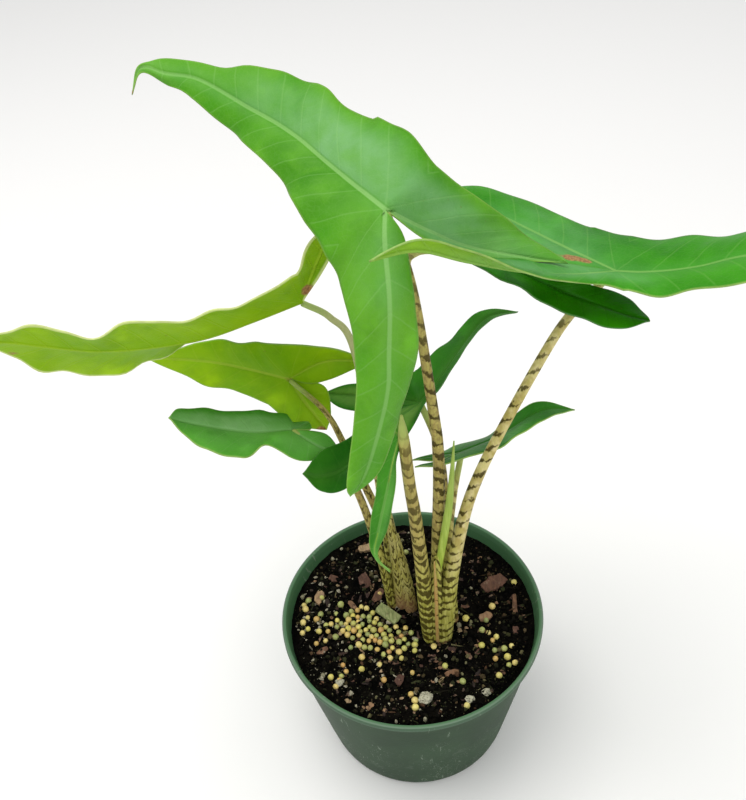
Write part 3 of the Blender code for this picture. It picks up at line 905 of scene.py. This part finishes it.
def stalkMaterial(name, kind, start, length):
    paint = Paint(name)
    around, along = paint.uv()
    heart = paint.noise(1.0, 3, 0.6, 0.0, paint.stretched((260, 260, 170)))
    small = paint.noise(1.0, 3, 0.6, 0.4, paint.stretched((900, 900, 700)))
    teeth, depth, wobble, width = stalkLook["kinds"][kind]
    zig = ((around * teeth + start * 0.37).fract() - 0.5).absolute() * 2
    climb = along / (along / 620 + 1)  # the bands stand further apart higher up
    phase = climb / stalkLook["pitch"] + zig * depth + (heart - 0.5) * wobble
    phase = phase + (small - 0.5) * 0.35 + start
    wave = (phase.fract() - 0.5).absolute() * 2
    patchy = paint.noise(1.0, 2, 0.5, 0.0, paint.stretched((380, 380, 150))) - 0.5
    low = along.ease(78, 36)
    reach = width + low * 0.16 + patchy * 1.35 - (1 - zig) * 0.42
    band = (reach - wave).ease(-0.06, 0.22)
    if kind == "plain":
        band = band * along.ease(118, 100)
    nearBlade = along.ease(length - 16, length - 4)  # the bands fade out under the blade
    band = band * (1 - nearBlade * 0.9) * (1 - along.ease(length - 70, length - 10) * 0.35)
    streak = paint.noise(1.0, 3, 0.6, 0.2, paint.stretched((1300, 1300, 120)))
    ground = ("tan", "tawny") if kind in ("tawny", "blotched", "speckled") else ("cream", "tan")
    base = paint.mix(heart.ease(0.35, 0.65), stalkLook[ground[0]], stalkLook[ground[1]])
    base = paint.mix(streak.ease(0.4, 0.7) * 0.45, base, stalkLook["oliveLight"])
    green = paint.mix(streak.ease(0.35, 0.65), stalkLook["olive"], stalkLook["oliveLight"])
    if kind == "sheath":
        base = paint.mix(0.92, base, green)
    elif kind == "squiggle":
        base = paint.mix(0.55, base, green)
    elif kind == "dry":
        base = paint.mix(streak.ease(0.35, 0.65), stalkLook["dry"], stalkLook["tan"])
    else:
        base = paint.mix(low * 0.85, base, green)
    if kind == "plain":
        base = paint.mix(along.ease(100, 125) * 0.85, base, stalkLook["plainTop"])
    if kind in ("blotched", "speckled"):
        base = paint.mix(small.ease(0.45, 0.62) * 0.5, base, stalkLook["blotch"])
    base = paint.mix(nearBlade * 0.75, base, stalkLook["nearBlade"])
    base = paint.mix(band * (0.80 + small * 0.25), base, stalkLook["band"])
    foot = along + (heart - 0.5) * 9
    foot = foot.ease(24, 6) if kind == "squiggle" else foot.ease(8.5, 4.5)
    base = paint.mix(foot * 0.8, base, stalkLook["dryFoot"])
    relief = paint.bump(streak * 0.5 + small * 0.5 - band * 0.5, 0.0004, 0.6)
    return paint.finish(Base_Color=base, Roughness=0.5 + band * 0.1, Normal=relief, Specular_IOR_Level=0.14)


def buildStalks():
    for name, (kind, start, widths, way) in stalkShape.items():
        stalk = tubePiece(name, way, widths, 28, stalkLook["steps"])
        length = runAlong([onPlant(point) for point in smoothLine(way, stalkLook["steps"])])[-1]
        skin = stalkMaterial(name + "Skin", kind, start, length)
        joinFrame(stalk, "striped_stalk", [nodeOf(name)], skin)
    for name, (kind, start, flatten, widths, way) in sheathShape.items():
        sheath = tubePiece(name, way, widths, 32, 12, flatten)
        skin = stalkMaterial(name + "Skin", kind, start, stalkLook["noBlade"])
        joinFrame(sheath, "striped_stalk", [], skin)


spearShape = {
    "widths": [2.4, 3.0, 3.2, 3.0, 2.0, 0.5],
    "way": [
        (10.8, -10.6, 44), (12.2, -12.6, 60), (14, -13.2, 75), (15.6, -13.2, 88), (16.9, -12.8, 104),
        (17.9, -12, 120.8),
    ],
    "flatten": 0.8,
    "colors": [(0.29, 0.42, 0.03), (0.43, 0.56, 0.08), (0.16, 0.30, 0.04)],
}


def spearMaterial():
    paint = Paint("spearGreen")
    streak = paint.noise(1.0, 3, 0.6, 0.2, paint.stretched((1100, 1100, 90)))
    dark, light, tip = spearShape["colors"]
    base = paint.mix(streak.ease(0.3, 0.7), dark, light)
    base = paint.mix(paint.uv()[1].ease(10, 80) * 0.45, base, tip)
    return paint.finish(Base_Color=base, Roughness=0.42, Normal=paint.bump(streak, 0.0003, 0.5))


def buildSpear():
    widths, way = spearShape["widths"], spearShape["way"]
    spear = tubePiece("newLeafSpear", way, widths, 20, 12, spearShape["flatten"])
    joinFrame(spear, "spear_green", ["new_leaf_spear"], spearMaterial())


buildStalks()
buildSpear()
print("stalks done")


# rows of (vein, one margin, other margin) in mm from the crown, from the stalk's joint outwards; the
# back lobes have (vein, outer margin, inner margin), and each last row is the tip alone
leafGuides = {
    "leafFront": {
        "front": [
            ((-1, -12, 213), (-19, -16, 202), (14.7, -0.7, 219.2)),
            ((-5.7, -5.9, 214.7), (-21.9, -9.6, 206), (7.9, 6.7, 227.1)),
            ((-10, 0, 216), (-25.3, -3.6, 209.5), (1.2, 13.6, 228.3)),
            ((-17.1, 10, 218.5), (-30, 7.1, 212.7), (-9.6, 23.9, 228)),
            ((-24, 20, 221), (-35, 17.7, 215.8), (-14.4, 31.5, 230.6)),
            ((-31.3, 29, 223), (-41, 26.8, 217.3), (-20.2, 37.5, 232.8)),
            ((-40, 38, 225), (-47, 36, 219), (-33, 47, 233)),
            ((-56, 52, 230), (-60, 50, 226), (-53, 57, 233)),
            ((-68.1, 58, 231), (-67.4, 56, 227.6), (-67, 63.2, 233.4)),
            ((-74, 61.5, 232.2), (-73.6, 60.2, 230.4), (-72.6, 63.4, 233.2)),
            ((-77.2, 60.8, 231.2), (-77, 60, 230.2), (-77.2, 61.6, 232.2)), ((-80, 57, 225.2),),
        ],
        "lobe1": [
            ((-2, -20, 207), (-15.6, -17.6, 194.5), (4, -17, 205)),
            ((-2, -29, 194), (-13.6, -26.6, 186.4), (5, -25, 190)),
            ((-3.2, -32.9, 179.2), (-13.3, -30.7, 174.8), (5.4, -29.9, 175.2)),
            ((-5, -37, 164), (-14, -35, 163), (-0.2, -31.7, 157.9)),
            ((-13, -40, 138), (-19.3, -40.5, 135.2), (-8, -39, 138)), ((-19, -40.6, 127.4),),
        ],
        "lobe2": [
            ((11, -10, 204), (28, 2, 206), (10, -12, 202)), ((26, -6, 194), (42, 4, 192), (25, -8, 192)),
            ((55, -3, 184),),
        ],
    },
    "leafRight": {
        "front": [
            ((72, 2, 176), (83, 22, 176), (66, -8, 178)),
            ((82, 0, 176), (92, 20, 175), (78.1, -15.4, 177.7)),
            ((95, -4, 179), (104, 16, 177), (89, -18, 181)),
            ((108, -9, 185), (114, 8, 183), (102, -24, 185)),
            ((125, -16, 190), (132, -2, 188), (119, -28, 191)), ((150, -30, 186),),
        ],
        "lobe1": [
            ((60, 18, 176), (71, 32, 175), (53, 3, 178.5)), ((47, 36, 176), (56, 50, 175), (42, 25, 178)),
            ((31, 53, 178), (38, 62, 178), (28, 46, 181)), ((20, 66, 176),),
        ],
        "lobe2": [
            ((54, -8, 183), (51, -16, 186), (50, 3, 181.5)),
            ((37, -17, 192), (35, -26, 198), (37, -7, 189.5)),
            ((20, -25, 202), (19, -30, 209), (20, -17, 199)), ((6, -32, 211), (6, -35, 216), (5, -26, 209)),
            ((-7, -38, 213),),
        ],
    },
    "leafUnderRight": {
        "front": [
            ((20, 10, 184), (22, 18, 182), (18, 2, 188)), ((36, 9, 178), (41, 18, 177), (30, 0, 182)),
            ((53, 4, 170), (60, 6, 172), (47, -5, 172)), ((68, -1, 165), (75.1, 6.1, 164.3), (62, -9, 165)),
            ((77, -3.5, 162), (81.9, -0.1, 160.8), (73.1, -9.4, 161.7)), ((83.1, -5.3, 160.8),),
        ],
        "lobe1": [
            ((15, 24, 181), (19, 28, 180), (14, 20, 182)), ((10, 36, 178),),
        ],
        "lobe2": [
            ((12, 4, 190), (11, -1, 192), (13, 8, 189)), ((4, 2, 190),),
        ],
    },
    "leafLeft": {
        "front": [
            ((-31.2, 27.5, 157.4), (-39, 12, 174), (-32, 44, 154)),
            ((-48, 24.5, 153.4), (-48, 10, 172), (-50, 43, 149)),
            ((-66.2, 19.3, 151.2), (-62, 8, 168), (-68, 38, 144)),
            ((-85, 14, 153), (-80, 4, 171), (-88, 27, 137)),
            ((-101, 8, 158), (-97, -1, 171), (-108, 18, 140)),
            ((-114, 3, 165), (-111.1, -3.4, 176.6), (-122, 11, 150)),
            ((-125, -1.6, 171.5), (-121.4, -7.3, 179.8), (-130, 2.8, 164.6)), ((-132.8, -8.6, 177.3),),
        ],
        "lobe1": [
            ((-27, 24, 170), (-30, 16, 177), (-24, 24, 169)),
            ((-21, 20, 184), (-25, 15, 189), (-18, 21, 181)), ((-13, 16, 197),),
        ],
        "lobe2": [
            ((-28, 44, 157), (-32, 48, 157), (-26, 42, 160)), ((-22, 62, 159),),
        ],
    },
    "leafLowLeft": {
        "front": [
            ((-41, 36, 116), (-51, 36, 104), (-43, 34, 135)),
            ((-56, 38, 121), (-63, 38, 110), (-54, 36, 135)),
            ((-72, 40, 125), (-78, 40, 116), (-68, 40, 135)), ((-96, 42, 128),),
        ],
        "lobe1": [
            ((-36, 33, 106), (-44, 32, 96), (-27.8, 34.7, 112)),
            ((-33, 32.6, 100.2), (-40.1, 31.4, 94.5), (-26.1, 31.5, 100.9)), ((-28.6, 30.4, 92.4),),
        ],
        "lobe2": [
            ((-26, 35, 124), (-24, 33, 132), (-29.9, 33.3, 115)), ((-8, 34, 123),),
        ],
    },
    "leafBack": {
        "front": [
            ((9, 22, 110), (5, 34, 113), (11, 20, 112)), ((16, 29, 113), (13, 42, 114), (17, 24, 115)),
            ((29, 44, 120), (25, 51.6, 117.6), (30, 40.8, 122)),
            ((40, 57, 122), (38.1, 60.9, 122.9), (41, 54, 123)), ((55, 68, 116),),
        ],
        "lobe1": [
            ((-4, 32, 105), (-2, 38, 107), (-5, 26, 104)),
            ((-17.3, 38.9, 102.1), (-17.8, 43.3, 104.8), (-21, 34.2, 99.6)), ((-30.2, 45.6, 98.9),),
        ],
        "lobe2": [
            ((-3, 14, 108), (1, 8, 104), (-5, 22, 106)), ((-21, 3, 98), (-21, -4, 94), (-21, 10, 105)),
            ((-31, -2, 99), (-31, -6, 95), (-30, 4, 106)), ((-37, -4, 103),),
        ],
    },
    "leafNarrow": {
        "front": [
            ((24.7, 21.3, 82.5), (23.4, 30.8, 76.9), (24.7, 12.5, 87.6)),
            ((39.8, 25.2, 85.4), (38.5, 31.9, 80.9), (40.5, 13.2, 92.2)),
            ((58.7, 32, 91.3), (56.5, 37.2, 91.4), (56.7, 22.6, 94.5)), ((74, 36, 87),),
        ],
        "lobe1": [
            ((17, 26, 77), (18, 31, 74), (15, 22, 78)), ((5, 26, 76),),
        ],
        "lobe2": [
            ((15, 12, 87), (14, 8, 89), (16, 16, 84)), ((5, 8, 90),),
        ],
    },
    "leafHanging": {
        "front": [
            ((-1, -15, 128), (-6, -14, 125), (0, -13, 125)),
            ((-4, -19, 120), (-9, -17, 117), (-3, -17, 118)),
            ((-7, -24, 111), (-11, -22, 107), (-4, -22, 110)),
            ((-11, -30, 98), (-14, -28, 96), (-8, -28, 96)),
            ((-13, -34, 89), (-14, -33, 90), (-12, -33, 89)), ((-8, -36, 82),),
        ],
        "lobe1": [
            ((-4, -12, 131), (-7, -12, 130), (-2, -11, 130)), ((-6, -8, 135),),
        ],
        "lobe2": [
            ((0, -10, 128), (1, -9, 126), (-1, -10, 128)), ((1, -6, 129),),
        ],
    },
    "leafDarkLeft": {
        "front": [
            ((-41, 15, 108), (-48.9, -0.9, 116.2), (-44, 27, 106)),
            ((-55, 10, 113), (-57, -8, 117), (-56, 22, 113)),
            ((-69, 6, 121), (-69, -8, 124), (-71, 17, 120)),
            ((-78.1, 4, 126.8), (-76.4, -3, 126.3), (-79.2, 9.7, 127.9)), ((-81.4, 2.5, 130.5),),
        ],
        "lobe1": [
            ((-31, 10, 103), (-38, 2, 104), (-29, 18, 102)), ((-22, 8, 99),),
        ],
        "lobe2": [
            ((-38, 21, 104), (-42, 24, 104), (-34, 19, 104)), ((-35, 27, 101),),
        ],
    },
}

# slot, top paint, underside paint, rim, then the form of the sheet in mm. A patch of sheen, of dry
# brown or of shade is (middle, reach, strength on the one side of the vein, strength on the other).
leafLooks = {
    "leafFront": ("leaf_mid_green", "mid", "midUnder", "rimPale", {
        "wave": 1.2, "waveLength": 31, "arch": 1.8, "spacing": 10, "frill": 0.5,
        "sheen": [
            ((4, 12, 220), 30, 0.05, 0.78), ((-26, 30, 226), 24, 0.0, 0.42),
            ((26, -4, 198), 24, 0.0, 0.40), ((-1, -24, 200), 12, 0.25, 0.0),
        ],
        "dry": [((-80, 57, 225), 2.5, 0.8, 0.8)],
        "shade": [
            ((-16, 0, 218), 13, 0.85, 0.0), ((-30, 12, 223), 13, 1.0, 0.0), ((-46, 26, 227), 12, 0.9, 0.0),
            ((-63, 41, 229), 9, 0.45, 0.2), ((8, -20, 175), 12, 0.0, 0.35),
        ],
    }),
    "leafRight": ("leaf_mid_green", "deep", "midUnder", "rimPale", {
        "wave": 0.8, "waveLength": 33, "arch": 1.4, "spacing": 11, "frill": 0.3,
        "sheen": [
            ((50, 26, 178), 22, 0.45, 0.35), ((62, -2, 182), 20, 0.3, 0.55),
            ((30, -18, 198), 22, 0.5, 0.6),
        ],
        "dry": [
            ((55.8, 10.3, 180.6), 2.6, 0.9, 0.9), ((59.5, 8.8, 178.9), 3.0, 1.0, 1.0),
            ((63.6, 7.3, 177.2), 2.4, 0.8, 0.8),
        ],
    }),
    "leafUnderRight": ("leaf_dark_green", "shade", "darkUnder", "rimDark", {
        "wave": 0.7, "waveLength": 22, "arch": 0.6, "spacing": 9,
        "dry": [((84, -6, 160), 1.8, 0.7, 0.7)],
    }),
    "leafLeft": ("leaf_yellow_green", "yellow", "yellowUnder", "rimYellow", {
        "wave": 1.1, "waveLength": 27, "arch": 0.8, "spacing": 9, "frill": 0.5,
        "dry": [((-28.5, 25, 164), 3.4, 0.8, 0.8), ((-127, 4, 162), 2.4, 0.0, 0.6)],
    }),
    "leafLowLeft": ("leaf_yellow_green", "olive", "yellowUnder", "rimPale", {
        "wave": 0.9, "waveLength": 24, "arch": 0.6, "spacing": 9,
        "dry": [((-31, 30, 92), 3.0, 0.8, 0.0), ((-41, 36, 116), 2.4, 0.5, 0.5)],
    }),
    "leafBack": ("leaf_dark_green", "darkFlap", "darkUnder", "rimDark", {
        "wave": 0.5, "waveLength": 20, "arch": 0.4, "spacing": 8,
        "sheen": [((4, 14, 107), 9, 1.0, 1.0), ((-18, 39, 102), 13, 0.9, 0.9)],
    }),
    "leafNarrow": ("leaf_dark_green", "dark", "paleUnder", "rimPale", {
        "wave": 0.5, "waveLength": 22, "arch": 0.4, "spacing": 8,
    }),
    "leafHanging": ("leaf_mid_green", "young", "midUnder", "rimPale", {
        "wave": 0.3, "waveLength": 18, "arch": 0.3, "spacing": 7,
        "sheen": [((-4, -26, 104), 14, 0.0, 0.8), ((-10, -35, 84), 7, 1.6, 1.6)],
    }),
    "leafDarkLeft": ("leaf_dark_green", "silver", "darkUnder", "rimPale", {
        "wave": 0.6, "waveLength": 21, "arch": 0.6, "spacing": 8,
        "sheen": [((-55, 4, 116), 26, 0.15, 0.85)],
    }),
}

leafPaints = {  # deep, light, sheen patch, vein, roughness
    "mid": ((0.058, 0.27, 0.009), (0.126, 0.375, 0.023), (0.18, 0.41, 0.16), (0.28, 0.54, 0.17), 0.42),
    "deep": ((0.018, 0.175, 0.004), (0.052, 0.31, 0.009), (0.14, 0.38, 0.13), (0.24, 0.48, 0.12), 0.40),
    "young": ((0.010, 0.11, 0.006), (0.050, 0.25, 0.014), (0.11, 0.36, 0.05), (0.20, 0.42, 0.10), 0.40),
    "shade": ((0.005, 0.094, 0.0), (0.026, 0.205, 0.001), (0.02, 0.15, 0.01), (0.006, 0.06, 0.001), 0.40),
    "dark": ((0.012, 0.125, 0.004), (0.042, 0.24, 0.012), (0.06, 0.20, 0.04), (0.05, 0.17, 0.02), 0.40),
    "darkFlap": ((0.006, 0.085, 0.002), (0.026, 0.16, 0.006), (0.12, 0.27, 0.04), (0.05, 0.17, 0.02), 0.40),
    "silver": ((0.045, 0.25, 0.014), (0.11, 0.38, 0.045), (0.25, 0.48, 0.20), (0.22, 0.44, 0.16), 0.42),
    "olive": ((0.15, 0.36, 0.001), (0.28, 0.49, 0.002), (0.26, 0.44, 0.03), (0.38, 0.52, 0.05), 0.45),
    "yellow": ((0.10, 0.30, 0.003), (0.20, 0.42, 0.006), (0.24, 0.44, 0.03), (0.34, 0.52, 0.06), 0.45),
    "midUnder": ((0.13, 0.33, 0.010), (0.23, 0.45, 0.02), (0.20, 0.43, 0.09), (0.28, 0.48, 0.10), 0.55),
    "darkUnder": ((0.05, 0.18, 0.006), (0.11, 0.26, 0.014), (0.15, 0.30, 0.05), (0.16, 0.30, 0.04), 0.55),
    "paleUnder": ((0.15, 0.25, 0.010), (0.28, 0.36, 0.030), (0.30, 0.38, 0.08), (0.32, 0.42, 0.08), 0.55),
    "yellowUnder": ((0.17, 0.38, 0.001), (0.28, 0.49, 0.003), (0.30, 0.48, 0.02), (0.36, 0.54, 0.03), 0.52),
}

leafRims = {  # color, how far it reaches inward in mm, strength
    "rimPale": ((0.30, 0.50, 0.10), 0.6, 0.4),
    "rimYellow": ((0.66, 0.76, 0.28), 1.3, 0.85),
    "rimDark": ((0.05, 0.20, 0.02), 0.6, 0.4),
}

leafForm = {
    "thickness": 0.55,  # mm
    "steps": 10,  # for each span between guide rows
    "columns": 14,  # from the vein to the margin
    "slope": 0.62,  # how much the side veins lean towards the tip
    "sinusSlope": 0.5,
    "up": (0, -0.3, 1),  # the top side faces this way, more or less
    "frill": 0.3,
    "otherSide": 1.9,  # shifts the waves of the one margin against the other's
    "calm": 0.7,  # how much flatter the waves of the back lobes are
    # tone of the side veins, then heights of the net, the side veins and the vein; below 0 is sunk
    "topRelief": (0.15, -0.10, -0.2, -0.5),
    "underRelief": (0.25, 0.25, 0.6, 1.6),
    "spot": (0.16, 0.075, 0.022),
    "dryTip": (0.42, 0.24, 0.09),
    "dryDark": (0.23, 0.11, 0.045),
}


def leafMaterial(name, paintName, rim):
    deep, light, patch, veinColor, rough = leafPaints[paintName]
    heights = leafForm["underRelief" if "Under" in paintName else "topRelief"]
    ribTone, netHeight, ribHeight, veinHeight = heights
    paint = Paint(name)
    gap = paint.attribute("veinGap")
    across = paint.attribute("across")
    edge = paint.attribute("edgeGap")
    cloud = paint.noise(26, 3, 0.55)
    mottle = paint.noise(170, 4, 0.65)
    fine = paint.noise(1100, 3, 0.6)
    bent = paint.attribute("phase") + (paint.noise(60, 2) - 0.5) * 0.22
    rib = (bent.fract() - 0.5).absolute() * 2  # 1 on a side vein, 0 between two
    ribLine = rib.ease(0.90, 0.985) * across.ease(0.0, 0.06) * across.ease(1.0, 0.9)
    half = ((bent * 2 + 0.5).fract() - 0.5).absolute() * 2
    finer = half.ease(0.93, 0.99) * 0.45 * across.ease(0.05, 0.3)
    net = paint.cells(620, "DISTANCE_TO_EDGE").ease(0.10, 0.0)
    base = paint.mix(cloud.ease(0.30, 0.70), deep, light)
    base = paint.mix(mottle.ease(0.30, 0.75) * 0.35, base, light)
    glow = paint.noise(52, 3).ease(0.55, 0.72) * across.ease(0.2, 0.6)
    base = paint.mix(glow * 0.6, base, scaled(light, 1.35))
    shadow = paint.noise(70, 3, 0.6, 0.3).ease(0.54, 0.74)
    base = paint.mix(shadow * 0.30, base, scaled(deep, 0.6))
    # painted sheen and painted shade: the sheen patches lighten the blade to grey-green by the vein, where
    # the sky's reflection would fall, and the shade patches darken it beside the vein; this noise breaks
    # both up
    sheenShadeBreakup = paint.noise(90, 4, 0.6, 0.4).ease(0.25, 0.7)
    sheen = paint.attribute("sheen") * (0.45 + sheenShadeBreakup * 0.55) * across.ease(0.98, 0.5)
    base = paint.mix(sheen + gap.ease(5.0, 1.0) * 0.10, base, patch)
    base = paint.mix(paint.attribute("shade") * (0.3 + sheenShadeBreakup * 0.7), base, scaled(deep, 0.85))
    base = paint.mix(ribLine * ribTone + finer * 0.06, base, veinColor)
    base = paint.mix(net * 0.05, base, veinColor)
    main = gap.ease(0.95, 0.45) * (1 - paint.attribute("tipShare") * 0.45)
    base = paint.mix(main * 0.62, base, veinColor)
    rimColor, rimReach, rimStrength = leafRims[rim]
    base = paint.mix(edge.ease(rimReach, rimReach * 0.4) * rimStrength, base, rimColor)
    specks = paint.noise(420, 2, 0.5).ease(0.735, 0.765) * paint.noise(30, 2).ease(0.56, 0.66)
    base = paint.mix(specks * 0.55, base, leafForm["spot"])
    dry = (paint.attribute("dry") + (mottle - 0.5) * 1.1).ease(0.35, 0.75)
    dryColor = paint.mix(fine.ease(0.35, 0.65), leafForm["dryTip"], leafForm["dryDark"])
    base = paint.mix(dry, base, dryColor)
    height = fine * 0.12 + net * netHeight + rib.ease(0.85, 1.0) * ribHeight
    height = height + mottle * 0.45 + gap.ease(1.3, 0.4) * veinHeight
    relief = paint.bump(height, 0.00035, 0.7)
    roughness = rough + (mottle - 0.5) * 0.14 + ribLine * 0.05
    return paint.finish(Base_Color=base, Roughness=roughness, Normal=relief, Specular_IOR_Level=0.08)


def rimMaterial(name):
    paint = Paint(name)
    color = leafRims[name][0]
    base = paint.mix(paint.noise(300, 3).ease(0.3, 0.7), color, scaled(color, 0.75))
    return paint.finish(Base_Color=base, Roughness=0.5)


class Sheet:  # the points, faces and stored numbers of one blade; points in one place are one
    def __init__(self):
        self.index = {}
        self.points = []
        self.faces = []
        self.marks = []
        self.outward = []  # the way from the vein to the margin

    def corner(self, point, mark, outward):
        key = tuple(round(value * 1e6) for value in point)
        if key not in self.index:
            self.index[key] = len(self.points)
            self.points.append(point)
            self.marks.append(mark)
            self.outward.append(outward)
        return self.index[key]

    # the faces between a vein and a margin, row by row
    def strip(self, spine, margin, columns, spacing, slope, runs, side, lobe):
        rows = []
        alongs = runAlong(spine)
        for inner, outer, along, run in zip(spine, margin, alongs, runs):
            width = (outer - inner).length / mm
            row = []
            for column in range(columns + 1):
                share = column / columns
                phase = (along - slope * share * width) / spacing
                mark = (share, share * width, (1 - share) * width, phase, along / alongs[-1], along, run)
                place = inner.lerp(outer, share)
                row.append(self.corner(place, (*mark, side, lobe), (outer - inner).normalized()))
            rows.append(row)
        for low, high in zip(rows, rows[1:]):
            for column in range(columns):
                face = [low[column], low[column + 1], high[column + 1], high[column]]
                face = list(dict.fromkeys(face))
                if len(face) > 2:
                    self.faces.append(face)


def leafSheet(guides, spacing):  # front part and back lobes on both sides of the vein
    steps, columns = leafForm["steps"], leafForm["columns"]
    slope, sinusSlope = leafForm["slope"], leafForm["sinusSlope"]
    sheet = Sheet()
    front = [[onPlant(point) for point in row] for row in guides["front"]]
    joint, tip = front[0][0], front[-1][0]
    midrib = smoothLine([row[0] for row in front], steps)
    for side in (1, 2):
        rows = [[onPlant(point) for point in row] for row in guides[f"lobe{side}"]]
        end = rows[-1][0]
        margin = [end, *[row[1] for row in reversed(rows[:-1])], *[row[side] for row in front[:-1]], tip]
        outline = smoothLine(margin, steps)
        runs = runAlong(outline)
        turn = steps * len(rows)  # where the outline passes from the lobe to the front part
        sheet.strip(midrib, outline[turn:], columns, spacing, slope, runs[turn:], side, 0)
        vein = smoothLine([joint, *[row[0] for row in rows]], steps)
        sheet.strip(vein, outline[turn::-1], columns, spacing, slope, runs[turn::-1], side, 1)
        sinus = smoothLine([joint, *[row[2] for row in rows[:-1]], end], steps)
        sheet.strip(vein, sinus, columns // 2, spacing, sinusSlope, runAlong(sinus), side, 1)
    return sheet, joint


def faceUp(leaf):
    editAll(leaf)
    bpy.ops.mesh.normals_make_consistent(inside=False)
    bpy.ops.object.mode_set(mode="OBJECT")
    facing = sum((face.normal * face.area for face in leaf.data.polygons), Vector())
    if facing.dot(Vector(leafForm["up"])) < 0:
        editAll(leaf)
        bpy.ops.mesh.flip_normals()
        bpy.ops.object.mode_set(mode="OBJECT")


def waveLeaf(leaf, sheet, joint, form):  # waves at the margin, an arch, pleats and sunk veins
    across, gap, edge, phase, tipShare, along, run, _, lobe = np.array(sheet.marks).T
    normals = np.array([vertex.normal for vertex in leaf.data.vertices])
    outward = np.array(sheet.outward)
    width = edge + gap
    bulge = np.sin(math.pi * across)
    calm = 1 - leafForm["calm"] * lobe * np.clip(along / 15, 0, 1)
    fade = np.clip(width, 0, 14) / 14 * np.clip(along / 12, 0, 1) * np.clip((1 - tipShare) * 6, 0, 1)
    right = np.array([point[0] for point in sheet.points]) > joint[0]
    turns = 2 * math.pi * run / form["waveLength"] + np.where(right, leafForm["otherSide"], 0.0)
    ripple = np.sin(turns) + 0.45 * np.sin(turns * 1.83 + 1.1)
    lift = form["wave"] * ripple * across**2 * fade * calm
    lift += form["arch"] * bulge * np.clip(width / 20, 0, 1)
    lift += form["wave"] * 0.22 * np.cos(2 * math.pi * phase) * bulge * fade
    lift -= 0.07 * np.abs((phase % 1.0 - 0.5) * 2) ** 6 * bulge * np.clip(width / 16, 0, 1)
    lift -= 0.35 * np.exp(-((gap / 0.8) ** 2))
    ruffle = np.sin(turns + 0.8) + 0.3 * np.sin(turns * 2.1)
    frill = form.get("frill", leafForm["frill"]) * ruffle * across**3 * fade * calm
    setPoints(leaf, getPoints(leaf) + (normals * lift[:, None] + outward * frill[:, None]) * mm)


def markLeaf(leaf, sheet, form):  # the numbers that the blade's materials read
    marks = np.array(sheet.marks)
    for key, values in zip(("across", "veinGap", "edgeGap", "phase", "tipShare"), marks.T):
        storeValues(leaf, key, values)
    side = marks[:, 7]
    for key in ("sheen", "dry", "shade"):
        total = np.zeros(len(marks))
        for middle, reach, sideOne, sideTwo in form.get(key, []):
            far = np.linalg.norm(getPoints(leaf) - np.array(onPlant(middle)), axis=1) / mm / reach
            total += np.where(side == 1, sideOne, sideTwo) * np.exp(-(far**4))
        storeValues(leaf, key, total)


def buildLeaf(name, guides, look, skins):
    slot, topPaint, underPaint, rim, form = look
    sheet, joint = leafSheet(guides, form["spacing"])
    leaf = meshPiece(name, sheet.points, sheet.faces)
    faceUp(leaf)
    waveLeaf(leaf, sheet, joint, form)
    markLeaf(leaf, sheet, form)
    keys = (topPaint + rim, underPaint + rim, rim)
    for key, paintName in zip(keys, (topPaint, underPaint, rim)):
        if key not in skins:
            skins[key] = rimMaterial(rim) if key == rim else leafMaterial(key, paintName, rim)
    joinFrame(leaf, slot, [nodeOf(name)], *(skins[key] for key in keys))
    thick = {"thickness": leafForm["thickness"] * mm, "offset": 0.0, "use_even_offset": False}
    applyModifier(leaf, "SOLIDIFY", "thickness", material_offset=1, material_offset_rim=2, **thick)
    smoothAll(leaf)
    print(name, "faces", len(leaf.data.polygons))


leafSkins = {}  # materials made so far, shared by leaves of one kind
for leafName, leafGuide in leafGuides.items():
    buildLeaf(leafName, leafGuide, leafLooks[leafName], leafSkins)
print("leaves done")


cormLook = {
    "nodes": ["corm_front", "corm_left"],
    "dark": (0.07, 0.04, 0.022),
    "light": (0.15, 0.09, 0.05),
}


def cormMaterial():
    paint = Paint("cormSkin")
    rings = paint.noise(1.0, 3, 0.6, 0.3, paint.stretched((200, 200, 900)))
    base = paint.mix(rings.ease(0.35, 0.7), cormLook["dark"], cormLook["light"])
    return paint.finish(Base_Color=base, Roughness=0.85, Normal=paint.bump(rings, 0.0006, 0.8))


cormSkin = cormMaterial()
for nodeName in cormLook["nodes"]:
    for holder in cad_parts[nodeName].material_slots:
        holder.material = cormSkin
print("corms finished")
